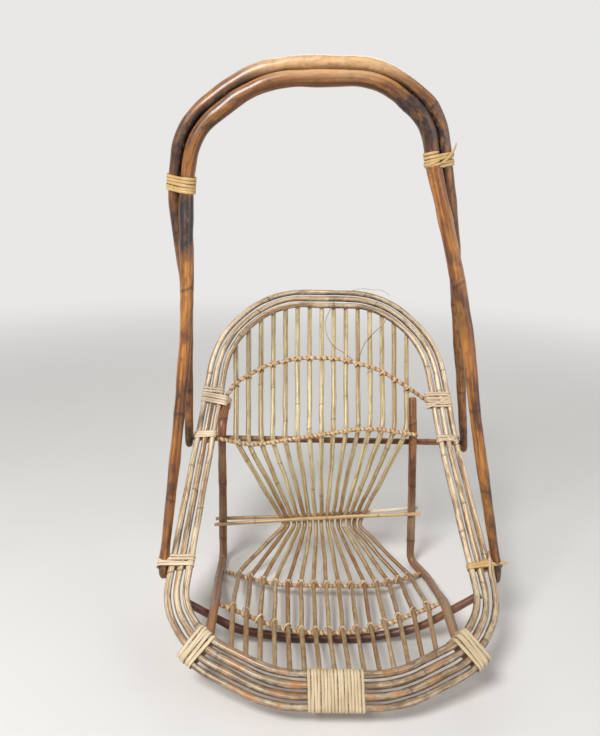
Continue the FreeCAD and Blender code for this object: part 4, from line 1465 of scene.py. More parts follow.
@dataclass
class SpokeFan:
    """Fifteen spokes laced over four ribs and pinched at the waist between two bars.

    The shares say how far out the last spoke lies at each place it passes, and the shifts how far to the left
    the middle one does. The two waist levels are those of the bars on the left and on the right. Bedding is
    how far a spoke's arc presses into the middle rib, and the wrap's reach is half the length of the front wrap.
    """

    # Farthest that a rib and a spoke that are bound together lie apart, and how often a strip is missing
    BOUND = 0.02
    MISSING = 0.18

    # A rail's run under the seat lies lower than this and moves forward by more than this from point to point
    SEAT_LEVEL = 0.18
    SEAT_STEP = 0.002
    RIB_SLACK = 0.0006

    rim: RimBand
    under: UnderFrame
    count: int = 15
    spoke_radius: float = 0.0051
    laid_spoke: float = 0.0050
    spoke_taper: Rows = ((0.0, 1.27), (0.28, 1.26), (0.42, 1.16), (0.52, 1.06), (1.0, 1.04))
    rib_radius: float = 0.0040
    laid_rib: float = 0.00475
    waist_radius: float = 0.0047
    laid_waist: float = 0.0045
    gap: float = 0.0003
    top_share: float = 0.712
    middle_share: float = 0.661
    waist_share: float = 0.300
    rear_share: float = 0.665
    seat_share: float = 0.660
    front_share: float = 0.630
    top_shift: float = -0.045
    middle_shift: float = -0.049
    waist_shift: float = -0.020
    waist_height: float = 0.094
    bedding: float = 0.0009
    waist_levels: tuple[float, float] = (0.0965, 0.1310)
    waist_overhang: float = 0.035
    bends: tuple[float, ...] = (0.10, 0.09, 0.06, 0.06)
    rib_bend: float = 0.35
    middle_rows: Rows = ((-0.827, 0, 0.297), (-0.600, 0, 0.282), (0.300, 0, 0.3265), (0.668, 0, 0.3125))
    upper_rows: Rows = ((0.69, 0.388), (0.45, 0.422), (0.15, 0.438))
    rear_dip: tuple[float, float, float] = (0.40, -0.045, 0.034)
    rear_end: float = 0.110
    wrap_reach: float = 0.0545
    spoke_lines: list[np.ndarray] = field(default_factory=list)
    rib_lines: dict[str, np.ndarray] = field(default_factory=dict)

    def __post_init__(self) -> None:
        """Lays out the ribs and spokes, in the order in which they rest on each other."""
        rim, under = self.rim, self.under
        inner = bent_line(*rim.path(-rim.pitch), RIB_STEP)
        level = under.hanger.bar_ends[1][2]
        self.inner_back = inner[inner[:, 2] > level]
        self.inner_front = inner[(inner[:, 2] < level) & (inner[:, 1] < rim.corners[3][1])]
        self.on_rib = self.laid_spoke + self.laid_rib + self.gap
        self.shoulder_y = under.rails[1][UnderFrame.SHOULDER][1]
        for name, corners in (("middle", self.middle_corners), ("rear", self.rear_corners),
                              ("front", self.front_corners), ("upper", self.upper_corners)):
            self.rib_lines[name] = bent_by_shares(corners(), self.rib_bend, RIB_STEP)
        self.spoke_lines = [bent_by_shares(self.spoke_corners(i), list(self.bends)) for i in range(self.count)]

    def middle_corners(self) -> np.ndarray:
        """A rib across the fronts of the rails, which sags on the left and rises on the right.

        Returns:
            Its corners from the left.
        """
        radius = self.under.laid_radius
        corners = place(self.middle_rows)
        corners[0, 0] = self.under.rails[-1][UnderFrame.HEEL][0]
        corners[:, 1] = self.shoulder_y - radius - self.laid_rib - self.gap
        corners[[0, -1], 0] += np.array([-radius, radius])
        return corners

    def rib_end(self, side: int, y: float) -> np.ndarray:
        """Where a seat rib meets the inner side of a rail.

        Args:
            side: 1 for the right rail and -1 for the left one.
            y: The Y at which they meet.

        Returns:
            The rib's end.
        """
        line = self.under.rail_lines[side]
        seat = line[(line[:, 2] < self.SEAT_LEVEL) & (np.gradient(line[:, 1]) < -self.SEAT_STEP)]
        order = np.argsort(seat[:, 1])
        point = read_rows(np.array([y]), seat[order, 1], seat[order])[0]
        return point - X_AXIS * side * (self.under.laid_radius + self.RIB_SLACK)

    def rear_corners(self) -> np.ndarray:
        """A rib under the seat, bowed to the front, from rail to rail.

        Returns:
            Its corners from the left.
        """
        dip = place(self.rear_dip)
        end_y = self.rear_end * DEPTH
        return np.array([self.rib_end(-1, end_y), mirrored(dip), dip, self.rib_end(1, end_y)])

    def front_corners(self) -> np.ndarray:
        """A rib that lies on the cross pole and meets both rails.

        Returns:
            Its corners from the left.
        """
        lift = Z_AXIS * (self.under.cross_radius + self.laid_rib + self.gap)
        inner = self.under.cross_corners[2:4] + lift
        return np.array([self.rib_end(-1, inner[0][1]), *inner, self.rib_end(1, inner[1][1])])

    def top_of(self, x: float) -> np.ndarray:
        """Where a spoke's top lies behind the inner rim cane."""
        below = self.rim.laid_radius + self.laid_spoke + self.gap
        return at_x(self.inner_back, x) - self.rim.normal(self.rim.back_slope) * below

    def waist_of(self, share: float) -> np.ndarray:
        """Where a spoke bends at the waist."""
        middle = place([share * self.waist_share + self.waist_shift, 0, self.waist_height])
        return middle + Y_AXIS * self.shoulder_y

    def middle_of(self, share: float, top: np.ndarray) -> np.ndarray:
        """Where a spoke bends behind the middle rib: the corner stands before its arc, which touches the rib.

        An arc's middle is away from its corner by the tangent's length times the tangent of a quarter turn.

        Args:
            share: Place of the spoke, from -1 on the left to 1 on the right.
            top: Its top.

        Returns:
            The corner.
        """
        x = (share * self.middle_share + self.middle_shift) * HALF_WIDTH
        corner = at_x(self.rib_lines["middle"], x) + Y_AXIS * (self.on_rib - self.bedding)
        run_in, run_out = corner - top, self.waist_of(share) - corner
        tangent = self.bends[0] * min(np.linalg.norm(run_in), np.linalg.norm(run_out))
        turn = math.acos(float(unit(run_in) @ unit(run_out)))
        inward = unit(unit(run_out) - unit(run_in))
        return corner - Y_AXIS * (inward[1] * tangent * math.tan(turn / 4))

    def upper_corners(self) -> np.ndarray:
        """An arch in front of the spokes, from one upper lashing to the other.

        Returns:
            Its corners from the left.
        """
        rim = self.rim
        reach = rim.laid_radius + self.under.hanger.wall + self.laid_rib
        rows = {}
        for side in SIDES:
            rows[side] = [rim.tie(UPPER_TIE, side).point(0.0, *rim.round_inner(reach, RIB_LEAN))]
            for x_share, z_share in self.upper_rows:
                share = side * x_share / self.top_share
                top = self.top_of((side * x_share + self.top_shift) * HALF_WIDTH)
                middle = self.middle_of(share, top)
                run = top - middle
                facing = unit(np.array([0.0, -run[2], run[1]]))
                on_sheet = middle + run * ((z_share * HEIGHT - middle[2]) / run[2])
                rows[side].append(np.array([top[0], on_sheet[1], on_sheet[2]]) + facing * self.on_rib)
        return np.array(rows[-1] + rows[1][::-1])

    def over_rib(self, name: str, x: float) -> np.ndarray:
        """Where a spoke passes over a seat rib, clear of it also where the rib slopes.

        Args:
            name: Name of the rib.
            x: Place across the chair.

        Returns:
            The spoke's corner.
        """
        left, right = (at_x(self.rib_lines[name], x + side * self.laid_spoke) for side in SIDES)
        slope = (right[2] - left[2]) / (right[0] - left[0])
        return (left + right) / 2 + Z_AXIS * (self.on_rib * math.hypot(1, slope))

    def spoke_corners(self, i: int) -> np.ndarray:
        """A spoke's course: behind the rim and two ribs, through the waist, over two ribs and under the front.

        Args:
            i: Number of the spoke from the left.

        Returns:
            Its corners from the top.
        """
        share = 2 * i / (self.count - 1) - 1
        top = self.top_of((share * self.top_share + self.top_shift) * HALF_WIDTH)
        rear = self.over_rib("rear", share * self.rear_share * HALF_WIDTH)
        front = self.over_rib("front", share * self.seat_share * HALF_WIDTH)
        end = at_x(self.inner_front, share * self.front_share * HALF_WIDTH)
        below = self.rim.laid_radius + self.laid_spoke + self.gap
        if abs(end[0]) < self.wrap_reach + self.laid_spoke:
            below += self.under.hanger.wall
        end = end - self.rim.normal(self.rim.front_slope) * below
        return np.array([top, self.middle_of(share, top), self.waist_of(share), rear, front, end])

    def build(self) -> None:
        """Makes the spokes, the ribs with their bindings, and the waist bars."""
        for i, line in enumerate(self.spoke_lines):
            chance = np.random.default_rng(100 + i)
            nodes = tuple(np.cumsum(chance.uniform(0.16, 0.36, 5)))
            warmth = patch_field([(0, 0.04, 0.08, 0.60), (0, 0.17, 0.05, 0.35)], base=chance.uniform(0.0, 0.42))
            radius = self.spoke_radius * chance.uniform(0.93, 1.03)
            body = CaneBody(radius, self.spoke_taper, swell=0.03, oval=0.04, nodes=nodes, node_rise=0.05,
                            node_width=0.006, sides=12, seed=100 + i, patches=warmth, waver=0.0016)
            name = "spoke_%02d" % (i + 1)
            make_cane("laced_" + name, name, Slot.SPOKE, SPOKE_FINISH, body, Course(line, X_AXIS))
        for name, look in RIBS.items():
            self.build_rib(name, look)
        self.build_waist_bars()

    def build_rib(self, name: str, look: RibLook) -> None:
        """A rib's core, its spiral strip, and a crossed binding at each spoke.

        Args:
            name: Name of the rib.
            look: Its look.
        """
        line = self.rib_lines[name]
        course = Course(line, Y_AXIS if look.below_spokes else Z_AXIS)
        core = CaneBody(self.rib_radius, sides=12, seed=140 + len(name))
        make_cane("rib_core_" + name, look.node, Slot.SPOKE, RIB_FINISH, core, course)
        shell = Shell()
        self.add_spiral(shell, course, look.pitch, Strip(look.width, 0.0010), 150 + len(name))
        for i, spoke in enumerate(self.spoke_lines):
            self.add_crossing(shell, line, spoke, look.below_spokes, 160 + 7 * i + len(name))
        shell.piece("rib_binding_" + name, Slot.STRIP, RIB_STRIP.material())

    def add_spiral(self, shell: Shell, course: Course, pitch: float, strip: Strip, seed: int) -> None:
        """A strip wound along a cane: at a distance s it has turned by s over the pitch, at the cane's radius.

        Args:
            shell: Shell that the strip joins.
            course: Line of the cane.
            pitch: Length of one turn.
            strip: The strip.
            seed: Seed of the small differences.
        """
        per_turn, inset = 14, 0.004
        count = int(course.length / pitch * per_turn)
        along = np.linspace(inset, course.length - inset, count)
        points, tangents, normals, binormals = course.at(along)
        turn = (2 * math.pi * along / pitch + 0.5 * wander(along, seed, 0.05))[:, None]
        away = normals * np.cos(turn) + binormals * np.sin(turn)
        radius = (self.rib_radius + strip.thickness * 0.55 + 0.0002 * (1 + wander(along, seed + 1, 0.02)))[:, None]
        strip.add_to(shell, points + away * radius, tangents, 0.45, seed)

    def add_crossing(self, shell: Shell, rib: np.ndarray, spoke: np.ndarray, over: bool, seed: int) -> None:
        """Two strips across each other round a rib and the spoke that it carries.

        Each lies in the plane of one diagonal and of the line from the rib to the spoke, where both canes'
        sections are stretched by the root of two.

        Args:
            shell: Shell that the strips join.
            rib: The rib's line.
            spoke: The spoke's line.
            over: Whether the spoke passes over the rib.
            seed: Seed of the small differences.
        """
        apart = np.linalg.norm(rib[:, None, :] - spoke[None, ::2, :], axis=-1)
        row, column = np.unravel_index(np.argmin(apart), apart.shape)
        if apart[row, column] > self.BOUND:
            return
        column = min(max(column * 2, 1), len(spoke) - 2)
        row = min(max(row, 1), len(rib) - 2)
        rib_way, spoke_way = unit(rib[row + 1] - rib[row - 1]), unit(spoke[column + 1] - spoke[column - 1])
        stack = unit(np.cross(rib_way, spoke_way))
        stack = stack * np.sign(stack @ (spoke[column] - rib[row]))
        half = (self.laid_rib + self.laid_spoke) / 2
        thickness = float(np.interp(column / len(spoke), *zip(*self.spoke_taper)))
        circles = [(0.0, -half, self.laid_rib + 0.0010), (0.0, half, self.spoke_radius * thickness)]
        chance = np.random.default_rng(seed)
        centre = (rib[row] + spoke[column]) / 2
        for sign in (-1, 1):
            if chance.uniform() < self.MISSING:
                continue
            diagonal = unit(rib_way + sign * spoke_way * chance.uniform(0.75, 1.15) * (0.65 if over else 1.0))
            station = Station(centre, np.cross(stack, diagonal), diagonal * 1.2, stack)
            strip = Strip(chance.uniform(0.0038, 0.0050), 0.0011)
            Winding(station, circles, 1.0, strip, 0.0012, lift=0.0003 + 0.0004 * (sign > 0),
                    tone=chance.uniform(0.1, 0.7), seed=seed + sign, points_per_lap=30).add_to(shell)

    def build_waist_bars(self) -> None:
        """Two thin bars that pinch the spokes, before and behind the rails, and higher on the right."""
        for name, way in (("front", -1), ("rear", 1)):
            line = bent_by_shares(self.waist_corners(way), self.rib_bend)
            patches = patch_field([(-1, -0.20, 0.12, 0.55 if way > 0 else 0.15)], axis=0)
            wear_and_highlight = patch_field([(1, 0.20, 0.12, 0.95 if way > 0 else 0.0)], axis=0)
            body = CaneBody(self.waist_radius, swell=0.04, nodes=(0.11, 0.30, 0.44), node_width=0.006, sides=12,
                            seed=180 + way, ends=(CaneEnd.ROUND, CaneEnd.ROUND), patches=patches, wear_and_highlight=wear_and_highlight)
            make_cane("waist_rod_" + name, "waist_bar_" + name, Slot.SPOKE, BAR_FINISH, body, Course(line, Z_AXIS))

    def waist_corners(self, way: int) -> np.ndarray:
        """A waist bar: past each rail, and beside the last spoke on each side.

        Args:
            way: -1 for the bar in front and 1 for the one behind.

        Returns:
            Its corners from the left.
        """
        mean = sum(self.waist_levels) / 2
        radius = self.under.laid_radius
        at_rail, at_spoke = radius + self.laid_waist + self.gap, self.laid_spoke + self.laid_waist + self.gap
        corners = []
        for side in SIDES:
            heel, upright = (self.under.rails[side][k] for k in (UnderFrame.HEEL, UnderFrame.SHOULDER))
            level = self.waist_levels[side > 0] * HEIGHT
            rail = heel + (upright - heel) * ((level - heel[2]) / (upright[2] - heel[2]))
            tip_x = rail[0] + side * (radius + self.waist_overhang * HALF_WIDTH)
            tip = np.array([tip_x, rail[1] + way * at_rail, level])
            inward = self.waist_share * HALF_WIDTH / abs(rail[0])
            near_level = mean * HEIGHT + (level - mean * HEIGHT) * inward
            middle, waist = self.spoke_corners(0 if side < 0 else self.count - 1)[1:3]
            spoke = waist + (middle - waist) * ((near_level - waist[2]) / (middle[2] - waist[2]))
            near = np.array([spoke[0], spoke[1] + way * at_spoke, near_level])
            corners += [tip, near] if side < 0 else [near, tip]
        return np.array(corners)


# Lashings

@dataclass
class Lashings:
    """Every strip that binds the rim, the hanger and the rails together.

    A bundle is a list of circles: how far outward and how far toward the sitter a cane lies, and its radius.
    A tied pole is thicker by its share, a bound rib by its length, and the bound bar has a radius of its own.
    """

    # Side, level as a share of the height, turns and pitch of each tie of the poles
    TIES = ((-1, 0.797, 5, 0.0068), (1, 0.846, 4, 0.0072))

    # Loose fibres: a loop and an arc that start at the upper rib, and one on the hoop
    LOOP = ((0.048, 0.266, 0.562), (0.015, 0.276, 0.578), (-0.004, 0.295, 0.607), (-0.007, 0.314, 0.639),
            (0.006, 0.332, 0.667), (0.020, 0.352, 0.688))
    ARC = ((0.100, 0.283, 0.587), (0.128, 0.299, 0.615), (0.153, 0.310, 0.633), (0.163, 0.322, 0.652))
    ON_HOOP = ((0.052, 0.370, 0.712), (0.097, 0.377, 0.722), (0.125, 0.375, 0.718), (0.153, 0.376, 0.720),
               (0.172, 0.366, 0.706))

    rim: RimBand
    hanger: Hanger
    under: UnderFrame
    fan: SpokeFan
    tied_share: float = 1.03
    bound_rib: float = 0.0014
    bound_bar: float = 0.0085
    fibre_x: float = 0.078

    def bundle(self, *others: Circle) -> list[Circle]:
        """The circles of the three rim canes, and of the others that are bound to them."""
        return [(offset, 0.0, self.rim.radius) for offset in (-self.rim.pitch, 0.0, self.rim.pitch)] + list(others)

    def beside_inner(self, laid_radius: float, lean: float, radius: float, slack: float = 0.0) -> Circle:
        """A cane against the inner rim cane, leaning round it toward the sitter, as a circle of a bundle."""
        reach = self.rim.laid_radius + self.hanger.wall + laid_radius + slack
        return (*self.rim.round_inner(reach, lean), radius)

    def build(self) -> None:
        """Makes all lashings."""
        self.build_ties()
        self.build_upper()
        self.build_arm()
        self.build_leg()
        self.build_front()
        self.build_fibres()

    @staticmethod
    def pole_place(line: np.ndarray, side: int, level: float) -> tuple[np.ndarray, np.ndarray]:
        """The middle of a pole and its upward direction at a level on one side.

        Args:
            line: The pole's line.
            side: 1 for the right and -1 for the left.
            level: Height of the place.

        Returns:
            The point and the direction.
        """
        part = line[line[:, 0] * side > 0.05]
        row = min(max(int(np.argmin(np.abs(part[:, 2] - level))), 1), len(part) - 2)
        way = unit(part[row + 1] - part[row - 1])
        return part[row], way * np.sign(way[2])

    def tie_station(self, side: int, level: float) -> tuple[Station, list[Circle]]:
        """Where the two poles are tied.

        Args:
            side: 1 for the right and -1 for the left.
            level: Height of the tie.

        Returns:
            The station between the poles, and the poles as circles of a bundle.
        """
        front, front_way = self.pole_place(self.hanger.front_line, side, level)
        rear, rear_way = self.pole_place(self.hanger.rear_line, side, level)
        along = unit(front_way + rear_way)
        across = rear - front
        across = across - along * (across @ along)
        half_spread = float(np.linalg.norm(across)) / 2
        station = Station((front + rear) / 2, along, unit(across), unit(np.cross(along, across)))
        return station, [(way * half_spread, 0.0, self.hanger.radius * self.tied_share) for way in (-1, 1)]

    def build_ties(self) -> None:
        """A tie on each side where the two poles of the arch part, with a loose end on the right one."""
        shell = Shell()
        for side, level, turns, pitch in self.TIES:
            at, circles = self.tie_station(side, level * HEIGHT)
            Winding(at, circles, turns, Strip(0.0064), pitch, slant=-0.08 * side, tone=0.35, seed=200 + side,
                    points_per_lap=64, lift=0.0006, unrest=0.2).add_to(shell)
            if side > 0:
                Winding(at, circles, 1.0, Strip(0.0056), pitch, slant=0.20, tone=0.2, seed=205, points_per_lap=64,
                        lift=0.0020).add_to(shell)
                self.add_tie_end(shell, at)
        shell.piece("pole_ties", Slot.STRIP, GOLD_STRIP.material(), ("hanger_ties",))

    def add_tie_end(self, shell: Shell, at: Station) -> None:
        """The loose end of a tie, which stands off the front pole, outward and up.

        Args:
            shell: Shell that it joins.
            at: Station of the tie.
        """
        forward = at.facing * (-np.sign(at.facing[1]) or 1.0)
        start = at.centre + at.outward * 0.004 + forward * (self.hanger.radius + 0.004)
        way = at.outward * 0.030 + at.along * 0.020
        tail = np.array([start - way * 0.4, start, start + way * 0.6 + forward * 0.004,
                         start + way * 1.05 + at.along * 0.004])
        Strip(0.0052).add_to(shell, bent_by_shares(tail, TAIL_BEND, TAIL_STEP), at.along, 0.2, seed=207)

    def build_upper(self) -> None:
        """Upper lashings: narrow turns round the rim alone, then a fan of turns that takes in the rib and rail."""
        under, fan = self.under, self.fan
        shell = Shell()
        rib = self.beside_inner(fan.laid_rib, RIB_LEAN, fan.rib_radius + self.bound_rib)
        rail = self.beside_inner(under.laid_radius, -RAIL_LEAN, under.rail_radius, RAIL_SLACK)
        left, right = (self.rim.tie(UPPER_TIE, side) for side in SIDES)
        Winding(left.moved(-0.0185), self.bundle(), 2.0, Strip(0.0062), 0.0070, 0.05, tone=0.25,
                seed=211).add_to(shell)
        Winding(left.moved(0.004), self.bundle(rib, rail), 4.0, Strip(0.0066), 0.0066, -0.04, 0.0004, tone=0.2,
                seed=213, points_per_lap=56).add_to(shell)
        Winding(right.moved(-0.004), self.bundle(rib), 7.0, Strip(0.0056), 0.0058, 0.10, 0.0004, tone=0.3,
                seed=217, points_per_lap=56, unrest=0.25).add_to(shell)
        Winding(right, self.bundle(rib), 1.0, Strip(0.0052), 0.0056, -0.35, 0.0016, tone=0.1, seed=219,
                points_per_lap=56).add_to(shell)
        shell.piece("upper_rim_binding", Slot.STRIP, PALE_STRIP.material(), ("upper_rim_lashings",))

    def build_arm(self) -> None:
        """Arm lashings: two broad, slanted turns round the rim and the cross bar behind it."""
        rim, hanger = self.rim, self.hanger
        shell = Shell()
        bar = (0.0, -(rim.laid_radius + hanger.wall + hanger.crossbar_radius), self.bound_bar)
        for side in SIDES:
            at = rim.bend_station(ARM_CORNER, side)
            Winding(at, self.bundle(bar), 2.0, Strip(0.0082), 0.0086, 0.16, 0.0003, tone=0.2, seed=223 + side,
                    points_per_lap=56).add_to(shell)
            Winding(at.moved(0.001), self.bundle(bar), 1.0, Strip(0.0066), 0.004, -0.14 if side > 0 else 0.10,
                    0.0016, tone=0.35, seed=227 + side, points_per_lap=56).add_to(shell)
            if side > 0:
                self.add_knot(shell, at.moved(outward=0.006), rim.radius + 0.0022, 0.010, 229)
        shell.piece("arm_binding", Slot.STRIP, PALE_STRIP.material(), ("arm_lashings",))

    def add_knot(self, shell: Shell, at: Station, height: float, size: float, seed: int) -> None:
        """A small flat knot: a strip that runs once round and over itself on top of a lashing.

        Its line is a circle in the plane of the band, squeezed one way, which rises and falls twice.

        Args:
            shell: Shell that it joins.
            at: Station of its middle.
            height: How far it lies above the station.
            size: Its size.
            seed: Seed of its wander.
        """
        angle = np.linspace(0.2, 2 * math.pi + 1.4, 40)
        along, out = size * 0.55 * np.cos(angle), size * 0.75 * np.sin(angle)
        rise = height + 0.0011 * (1 + np.sin(2 * angle)) + 0.0006 * angle / (2 * math.pi)
        line = at.centre + np.outer(along, at.along) + np.outer(out, at.outward) + np.outer(rise, at.facing)
        across = -np.outer(np.cos(angle), at.along) * 0.9 - np.outer(np.sin(angle), at.outward)
        Strip(0.0045).add_to(shell, line, across, 0.2, seed=seed)

    def build_leg(self) -> None:
        """Leg lashings round the rim and a foot of the hanger, with a loose end on the right one."""
        rim, hanger = self.rim, self.hanger
        leg = (rim.pitch + rim.laid_radius + hanger.gap + hanger.leg_radius, 0.0, hanger.leg_radius * 0.98)
        left, right = (rim.tie(LEG_TIE, side) for side in SIDES)
        shell = Shell()
        Winding(left, self.bundle(leg), 4.0, Strip(0.0062), 0.0066, 0.10, 0.0004, tone=0.2, seed=232,
                points_per_lap=60, unrest=0.22).add_to(shell)
        shell.piece("leg_binding_left", Slot.STRIP, PALE_STRIP.material(), ("leg_lashings",))
        shell = Shell()
        Winding(right, self.bundle(leg), 2.0, Strip(0.0086), 0.009, -0.06, 0.0004, tone=0.3, seed=234,
                points_per_lap=60, unrest=0.22).add_to(shell)
        self.add_leg_end(shell, right, leg)
        shell.piece("leg_binding_right", Slot.STRIP, GOLD_STRIP.material(), ("leg_lashings",))

    def add_leg_end(self, shell: Shell, at: Station, leg: Circle) -> None:
        """The loose end of a leg lashing, which bends back round the leg.

        Args:
            shell: Shell that it joins.
            at: Station of the lashing.
            leg: The leg as a circle of the bundle.
        """
        start = at.centre + at.outward * (leg[0] + 0.004) + at.facing * (self.hanger.leg_radius + 0.003)
        tail = np.array([start - at.outward * 0.02, start, start + at.outward * 0.011 - at.facing * 0.001,
                         start + at.outward * 0.021 - at.facing * 0.005 - at.along * 0.003])
        Strip(0.0066).add_to(shell, bent_by_shares(tail, TAIL_BEND, TAIL_STEP), at.along, 0.3, seed=239)

    def build_front(self) -> None:
        """The long front wrap and the two corner lashings, round the rim and the canes under it."""
        rim, under = self.rim, self.under
        shell = Shell()
        below = (rim.under_offset, 0.0, rim.under_radius)
        wrap = rim.station(rim.front_run, 0.5, 1)
        Winding(wrap, self.bundle(below), 17.0, Strip(0.0061, 0.0014), 0.00645, 0.01, 0.0004, tone=0.35,
                seed=241, points_per_lap=60, unrest=0.10).add_to(shell)
        rail = (-rim.pitch, -(rim.laid_radius + self.hanger.wall + under.laid_radius), under.rail_radius)
        for side in SIDES:
            at = rim.bend_station(FRONT_CORNER, side)
            Winding(at, self.bundle(below, rail), 5.0, Strip(0.0080, 0.0015), 0.0078, 0.06, 0.0004, tone=0.3,
                    seed=251 + side, points_per_lap=64, unrest=0.25).add_to(shell)
            Winding(at.moved(-0.006), self.bundle(below, rail), 1.0, Strip(0.0066), 0.006, 0.16, 0.0020,
                    tone=0.1, seed=257 + side, points_per_lap=64).add_to(shell)
        shell.piece("front_binding", Slot.STRIP, WRAP_STRIP.material(), ("front_lashings",))

    def build_fibres(self) -> None:
        """Loose fibres left over from the binding, which nothing else holds in shape."""
        tied = at_x(self.fan.rib_lines["upper"], self.fibre_x) - Y_AXIS * 0.005
        shell = Shell()
        for k, rows in enumerate((self.LOOP, self.ARC)):
            self.add_fibre(shell, np.array([tied, *rows]), Strip(0.0026, 0.0016), 0.6, 270 + k)
        shell.piece("loose_fibres_back", Slot.STRIP, FIBRE_STRIP.material())
        shell = Shell()
        self.add_fibre(shell, np.array(self.ON_HOOP), Strip(0.0030, 0.0016), 0.2, 275)
        shell.piece("loose_fibre_hoop", Slot.STRIP, PALE_STRIP.material())

    @staticmethod
    def add_fibre(shell: Shell, corners: np.ndarray, strip: Strip, tone: float, seed: int) -> None:
        """Adds one loose fibre to a shell."""
        strip.add_to(shell, bent_by_shares(corners, TAIL_BEND, RIB_STEP), Y_AXIS, tone, seed=seed)


# Surroundings

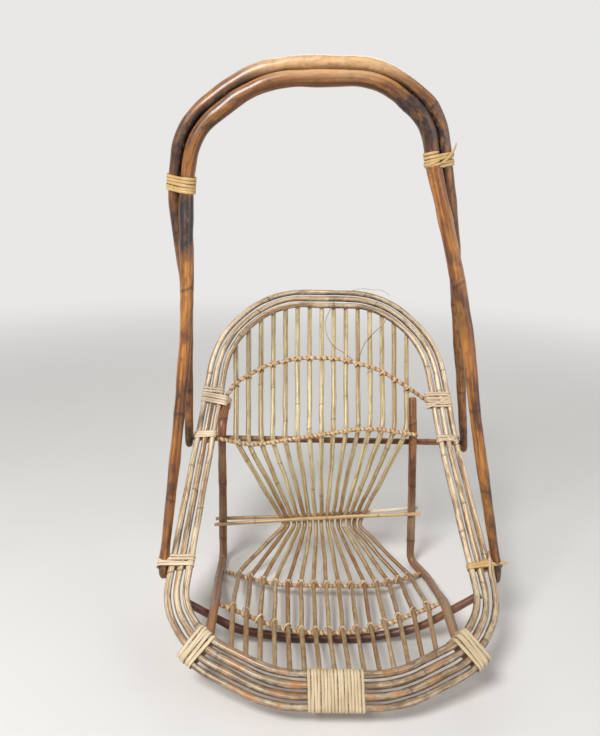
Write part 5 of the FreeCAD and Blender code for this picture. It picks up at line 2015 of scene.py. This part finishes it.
@dataclass
class Studio:
    """A pale floor, soft lamps and the camera at the viewing angle."""

    # Name, place, width and power of each lamp, and the place that they all point at
    LAMPS = (("key_lamp", (-1.3, -2.0, 3.0), 1.2, 108.0), ("fill_lamp", (2.4, -1.6, 1.7), 2.4, 20.0),
             ("back_lamp", (0.4, 2.6, 2.8), 2.0, 22.0))
    AIM = np.array([0.0, 0.0, 0.5])

    # Radius, number of corners and level of the floor, where it fades, and the colour that it fades to
    FLOOR_RADIUS = 60
    FLOOR_SIDES = 96
    FLOOR_LEVEL = -0.0005
    FADE = (1.2, 4.5)
    FAR = paint(232, 231, 229)

    focal_pixels: float = 620.0
    tall_pixels: float = 736.0
    pitch: float = 16.6
    yaw: float = 1.1
    roll: float = 1.5
    eye: tuple[float, float, float] = (-0.104, -1.35, 1.0)
    sensor: float = 36.0

    @staticmethod
    def add(name: str, data: bpy.types.ID, axes: tuple[np.ndarray, ...], spot: np.ndarray) -> bpy.types.Object:
        """Adds a lamp or camera to the scene.

        Args:
            name: Its name.
            data: What it is.
            axes: Its X, Y and Z directions. It looks against the last one.
            spot: Its place.

        Returns:
            The object.
        """
        thing = bpy.data.objects.new(name, data)
        rows = [[*row, value] for row, value in zip(np.column_stack(axes), spot)]
        thing.matrix_world = Matrix(rows + [[0, 0, 0, 1]])
        bpy.context.scene.collection.objects.link(thing)
        return thing

    def add_camera(self) -> None:
        """Sets the camera: its right, up and back directions are turned by yaw, then pitch, then roll."""
        pitch, yaw, roll = (math.radians(angle) for angle in (self.pitch, self.yaw, self.roll))
        level = np.array([math.sin(yaw), math.cos(yaw), 0.0])
        right = np.array([math.cos(yaw), -math.sin(yaw), 0.0])
        ahead = level * math.cos(pitch) - Z_AXIS * math.sin(pitch)
        upward = np.cross(right, ahead)
        right, upward = (right * math.cos(roll) + upward * math.sin(roll),
                         upward * math.cos(roll) - right * math.sin(roll))
        data = bpy.data.cameras.new("camera")
        data.sensor_width = self.sensor
        data.lens = self.sensor * self.focal_pixels / self.tall_pixels
        spot = np.array(self.eye) + FRAME_SHIFT
        bpy.context.scene.camera = self.add("camera", data, (right, upward, -ahead), spot)

    def add_floor(self) -> None:
        """A wide round floor of plain pale plaster, with a faint mottle."""
        angle = np.linspace(0, 2 * math.pi, self.FLOOR_SIDES, endpoint=False)
        level = np.full(self.FLOOR_SIDES, self.FLOOR_LEVEL)
        rim = np.column_stack([np.cos(angle) * self.FLOOR_RADIUS, np.sin(angle) * self.FLOOR_RADIUS, level])
        mesh = bpy.data.meshes.new("studio_floor")
        mesh.from_pydata(rim, [], [list(range(self.FLOOR_SIDES))])
        material = bpy.data.materials.new("pale_floor")
        sheet = NodeSheet.empty(material)
        where = sheet.node("ShaderNodeTexCoord").outputs["Object"]
        noise = sheet.node("ShaderNodeTexNoise", {"Vector": where, "Scale": 3.0, "Detail": 4.0}).outputs["Fac"]
        colour = sheet.mix(noise, paint(226, 224, 220), paint(232, 230, 227))
        shader = sheet.node("ShaderNodeBsdfPrincipled", {"Base Color": colour, "Roughness": 0.85})
        away = sheet.node("ShaderNodeVectorMath", {0: where}, operation="LENGTH").outputs["Value"]
        glow = sheet.node("ShaderNodeEmission", {"Color": self.FAR, "Strength": 1.0})
        faded = sheet.node("ShaderNodeMixShader", {0: sheet.ramp(away, *self.FADE), 1: shader.outputs[0],
                                                   2: glow.outputs[0]})
        sheet.node("ShaderNodeOutputMaterial", {"Surface": faded.outputs[0]})
        mesh.materials.append(material)
        floor = bpy.data.objects.new("studio_floor", mesh)
        bpy.context.scene.collection.objects.link(floor)

    def add_lamps(self) -> None:
        """Three large soft lamps: the main one high at the front left, one at the right, and one behind."""
        for name, spot, size, power in self.LAMPS:
            data = bpy.data.lights.new(name, "AREA")
            data.shape = "DISK"
            data.size = size
            data.energy = power
            away = unit(np.array(spot) - self.AIM)
            right = unit(np.cross(Z_AXIS, away))
            self.add(name, data, (right, np.cross(away, right), away), np.array(spot))

    def add_world(self) -> None:
        """An even grey light, which shows to the camera and in reflections as the floor's pale colour."""
        world = bpy.data.worlds.new("studio")
        bpy.context.scene.world = world
        sheet = NodeSheet.empty(world)
        path = sheet.node("ShaderNodeLightPath").outputs
        seen = sheet.math("MAXIMUM", path["Is Camera Ray"],
                          sheet.math("MAXIMUM", path["Is Glossy Ray"], path["Is Transmission Ray"]))
        light = sheet.node("ShaderNodeBackground", {"Color": (1.0, 1.0, 1.0, 1.0), "Strength": 0.27})
        shown = sheet.node("ShaderNodeBackground", {"Color": self.FAR, "Strength": 1.0})
        mixed = sheet.node("ShaderNodeMixShader", {0: seen, 1: light.outputs[0], 2: shown.outputs[0]})
        sheet.node("ShaderNodeOutputWorld", {"Surface": mixed.outputs[0]})

    def build(self) -> None:
        """Sets up everything round the chair."""
        self.add_camera()
        self.add_floor()
        self.add_lamps()
        self.add_world()
        bpy.context.scene.view_settings.view_transform = "Standard"


def frame_shift() -> np.ndarray:
    """How far the CAD frame stands from the frame of the shares, read from the straight cross bar.

    Returns:
        The shift.
    """
    low, high = (np.array(corner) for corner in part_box("back_crossbar"))
    middle = Hanger(RimBand()).crossbar_point(sum(UnderFrame.bar_reach) / 2 * HALF_WIDTH)
    return (low + high) / 2 - middle


FRAME_SHIFT = frame_shift()


def main() -> None:
    """Builds the studio and then the chair, from the rim inwards."""
    logging.basicConfig(level=logging.INFO, format="%(message)s")
    LOG.info("shift %s", np.round(FRAME_SHIFT, 5))
    Studio().build()
    rim = RimBand()
    rim.build()
    hanger = Hanger(rim)
    hanger.build()
    under = UnderFrame(rim, hanger)
    under.build()
    fan = SpokeFan(rim, under)
    fan.build()
    Lashings(rim, hanger, under, fan).build()


if __name__ == "__main__":
    main()
